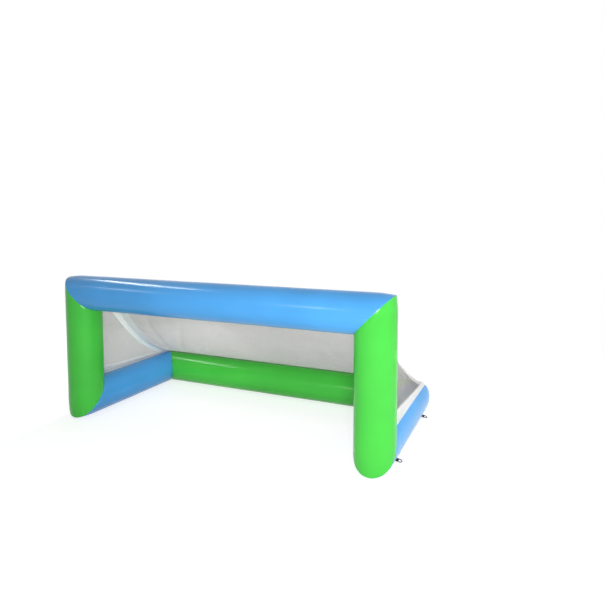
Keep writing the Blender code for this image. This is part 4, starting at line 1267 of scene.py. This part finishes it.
def finish_kept(node, finish):
    """The finish of a node that keeps its shape, and its soft edges."""
    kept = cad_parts[node]
    kept.data.materials.clear()
    kept.data.materials.append(finish)
    edge = kept.modifiers.new("soft_edges", "BEVEL")
    edge.width = 0.0002
    edge.segments = 2
    edge.limit_method = "ANGLE"
    edge.angle_limit = math.radians(40)


def add_valve():
    soft = moulded_finish("valve_soft", (0.030, 0.030, 0.033), 0.45)
    hard = moulded_finish("valve_hard", (0.200, 0.205, 0.215), 0.40)
    rubber = moulded_finish("valve_rubber", (0.028, 0.028, 0.028), 0.68, 900)
    cut_valve_hole(bpy.data.objects["left_post_tube_skin"])
    add_flange(soft)
    add_cap(soft)
    add_spring(steel_finish())
    finish_kept("valve_core", hard)
    finish_kept("valve_poppet", hard)
    finish_kept("valve_cap_gasket", rubber)


# Stage

CAMERA_AT = (1.86283, -3.14472, 1.39000)
CAMERA_TURN = (math.radians(90 - 3.925), 0.0, math.radians(23.4933))
CAMERA_LENS = 30.8197
CAMERA_SHIFT = (-0.0177043, -0.0768148)
FLOOR_RADIUS = 9.0
FLOOR_GLOW = 0.70
FLOOR_SIDES = 96
FLOOR_FADE = (2.6, 4.6)  # from the middle, between which the floor fades out
WORLD_LIGHT = 0.25
STREAK_SPREAD = math.radians(70)
# Each lamp's place, the point that it faces, its width, height, power and spread in degrees
LAMPS = {
    "key": ((1.75, -3.25, 1.30), (0.3, -0.2, 0.4), 0.9, 0.6, 90, 180),
    "mouth": ((0.3, -0.8, 0.08), (-0.65, 0.18, 0.48), 0.3, 0.1, 1.0, 60),
    "side": ((4.0, 0.2, 1.7), (1.0, 0.2, 0.3), 1.4, 1.2, 58, 180),
    "back": ((-0.5, 3.6, 2.8), (0.0, 0.2, 0.4), 2.4, 1.6, 85, 180),
    "left": ((-3.0, 2.4, 1.8), (-1.1, 0.0, 0.4), 1.4, 1.2, 20, 180),
    "net": ((3.0, 0.9, 1.2), (1.05, -0.05, 0.66), 0.3, 0.3, 0.8, 24),
}
CROSSBAR_SPOT, REAR_SPOT = (-0.3, -0.5, 0.9), (-0.7, 0.4, 0.2)
# Each streak's start and end, the point that it faces, its width and its power
STREAKS = {
    "high_streak": ((-3.70, 0.25, 3.90), (-2.35, -0.95, 3.90), CROSSBAR_SPOT, 0.12, 8),
    "left_streak": ((-3.68, -2.48, 3.25), (-3.24, -2.75, 2.99), CROSSBAR_SPOT, 0.05, 1.6),
    "front_streak": ((-0.70, -3.36, 2.00), (-0.36, -3.37, 2.00), CROSSBAR_SPOT, 0.05, 2.5),
    "rear_streak": ((-1.70, 0.28, 1.18), (-1.08, 0.00, 1.15), REAR_SPOT, 0.04, 2),
}


def add_camera():
    data = bpy.data.cameras.new("camera")
    data.lens = CAMERA_LENS
    data.sensor_width = 36.0
    data.shift_x, data.shift_y = CAMERA_SHIFT
    data.clip_end = 100.0
    camera = bpy.data.objects.new("camera", data)
    camera.location = CAMERA_AT
    camera.rotation_euler = CAMERA_TURN
    bpy.context.scene.collection.objects.link(camera)
    bpy.context.scene.camera = camera


def add_light(name, place, target, width, height, power):
    """An area light of a size in metres, turned towards a point."""
    data = bpy.data.lights.new(name, "AREA")
    data.shape = "RECTANGLE"
    data.size, data.size_y = width, height
    data.energy = power
    light = bpy.data.objects.new(name, data)
    light.location = place
    light.rotation_euler = (Vector(target) - Vector(place)).to_track_quat("-Z", "Y").to_euler()
    light.visible_camera = False
    bpy.context.scene.collection.objects.link(light)
    return light


def add_streak(name, start, end, target, width, power):
    """A narrow light from start to end, for a streak along a glossy tube."""
    start, end, target = Vector(start), Vector(end), Vector(target)
    place = (start + end) / 2
    light = add_light(name, place, target, (end - start).length, width, power)
    light.data.spread = STREAK_SPREAD
    facing = (target - place).normalized()
    across = (end - start).cross(facing).normalized()
    along = facing.cross(across)
    light.rotation_euler = Matrix((along, across, -facing)).transposed().to_euler()
    light.visible_diffuse = False


def seen_directly(nodes):
    """1 for rays from the camera, from mirrors and through glass, 0 for all others."""
    path = nodes.node("ShaderNodeLightPath").outputs
    seen = nodes.math("MAXIMUM", path["Is Camera Ray"], path["Is Glossy Ray"])
    return nodes.math("MAXIMUM", seen, path["Is Transmission Ray"])


def add_floor():
    turns = np.linspace(0, TURN, FLOOR_SIDES + 1)[:-1]
    rim = [(FLOOR_RADIUS * math.cos(t), FLOOR_RADIUS * math.sin(t), 0) for t in turns]
    faces = [(0, k + 1, (k + 1) % FLOOR_SIDES + 1) for k in range(FLOOR_SIDES)]
    mesh = bpy.data.meshes.new("floor")
    mesh.from_pydata([(0, 0, 0), *rim], [], faces)
    floor = bpy.data.objects.new("floor", mesh)
    bpy.context.scene.collection.objects.link(floor)
    paint = Paint("pale_floor")
    far = paint.node("ShaderNodeVectorMath", {0: paint.place}, operation="LENGTH").outputs["Value"]
    grain = paint.ramp(paint.noise(paint.place, 40, 4), 0.3, 0.7)
    paint.set(
        base_color=paint.mix(grain, (0.54, 0.54, 0.54), (0.57, 0.57, 0.57)),
        roughness=0.8,
        specular_ior_level=0.1,
        emission_color=(1.0, 1.0, 1.0),
        emission_strength=paint.math("MULTIPLY", seen_directly(paint), FLOOR_GLOW),
        alpha=paint.ramp(far, *FLOOR_FADE, 1.0, 0.0),
    )
    mesh.materials.append(paint.material)


def add_world():
    """White to the camera and to mirrors, a softer white as a light."""
    world = bpy.data.worlds.new("studio")
    bpy.context.scene.world = world
    world.use_nodes = True
    nodes = Nodes(world.node_tree)
    strength = nodes.ramp(seen_directly(nodes), 0.0, 1.0, WORLD_LIGHT, 1.0, "LINEAR")
    background = world.node_tree.nodes["Background"].inputs
    nodes.give(background["Color"], (1.0, 1.0, 1.0))
    nodes.give(background["Strength"], strength)


def add_lights():
    for name, (*lamp, spread) in LAMPS.items():
        light = add_light(name, *lamp)
        light.data.spread = math.radians(spread)
        light.visible_glossy = name == "key"
    for name, streak in STREAKS.items():
        add_streak(name, *streak)


def build():
    blue = tarpaulin("blue_pvc", (0.080, 0.375, 0.810))
    green = tarpaulin("green_pvc", (0.068, 0.580, 0.062))
    finishes = {tube: (green, "green_pvc") for tube in TUBES}
    for tube in ("crossbar_tube", "left_ground_tube", "right_ground_tube"):
        finishes[tube] = (blue, "blue_pvc")
    add_tubes(finishes)
    add_tapes(tape_finish())
    nets = add_nets(net_finish())
    hems = band_finish("white_hem", 0.30)
    add_ground_hems(hems)
    add_post_hems(hems)
    add_crossbar_hem(hems)
    add_corner_bands(band_finish("white_band", 0.12))
    add_anchors(black_pvc_finish(), webbing_finish(), coated_steel_finish())
    add_valve()
    add_floor()
    add_world()
    add_lights()
    add_camera()
    bpy.context.scene.view_settings.view_transform = "Standard"


build()
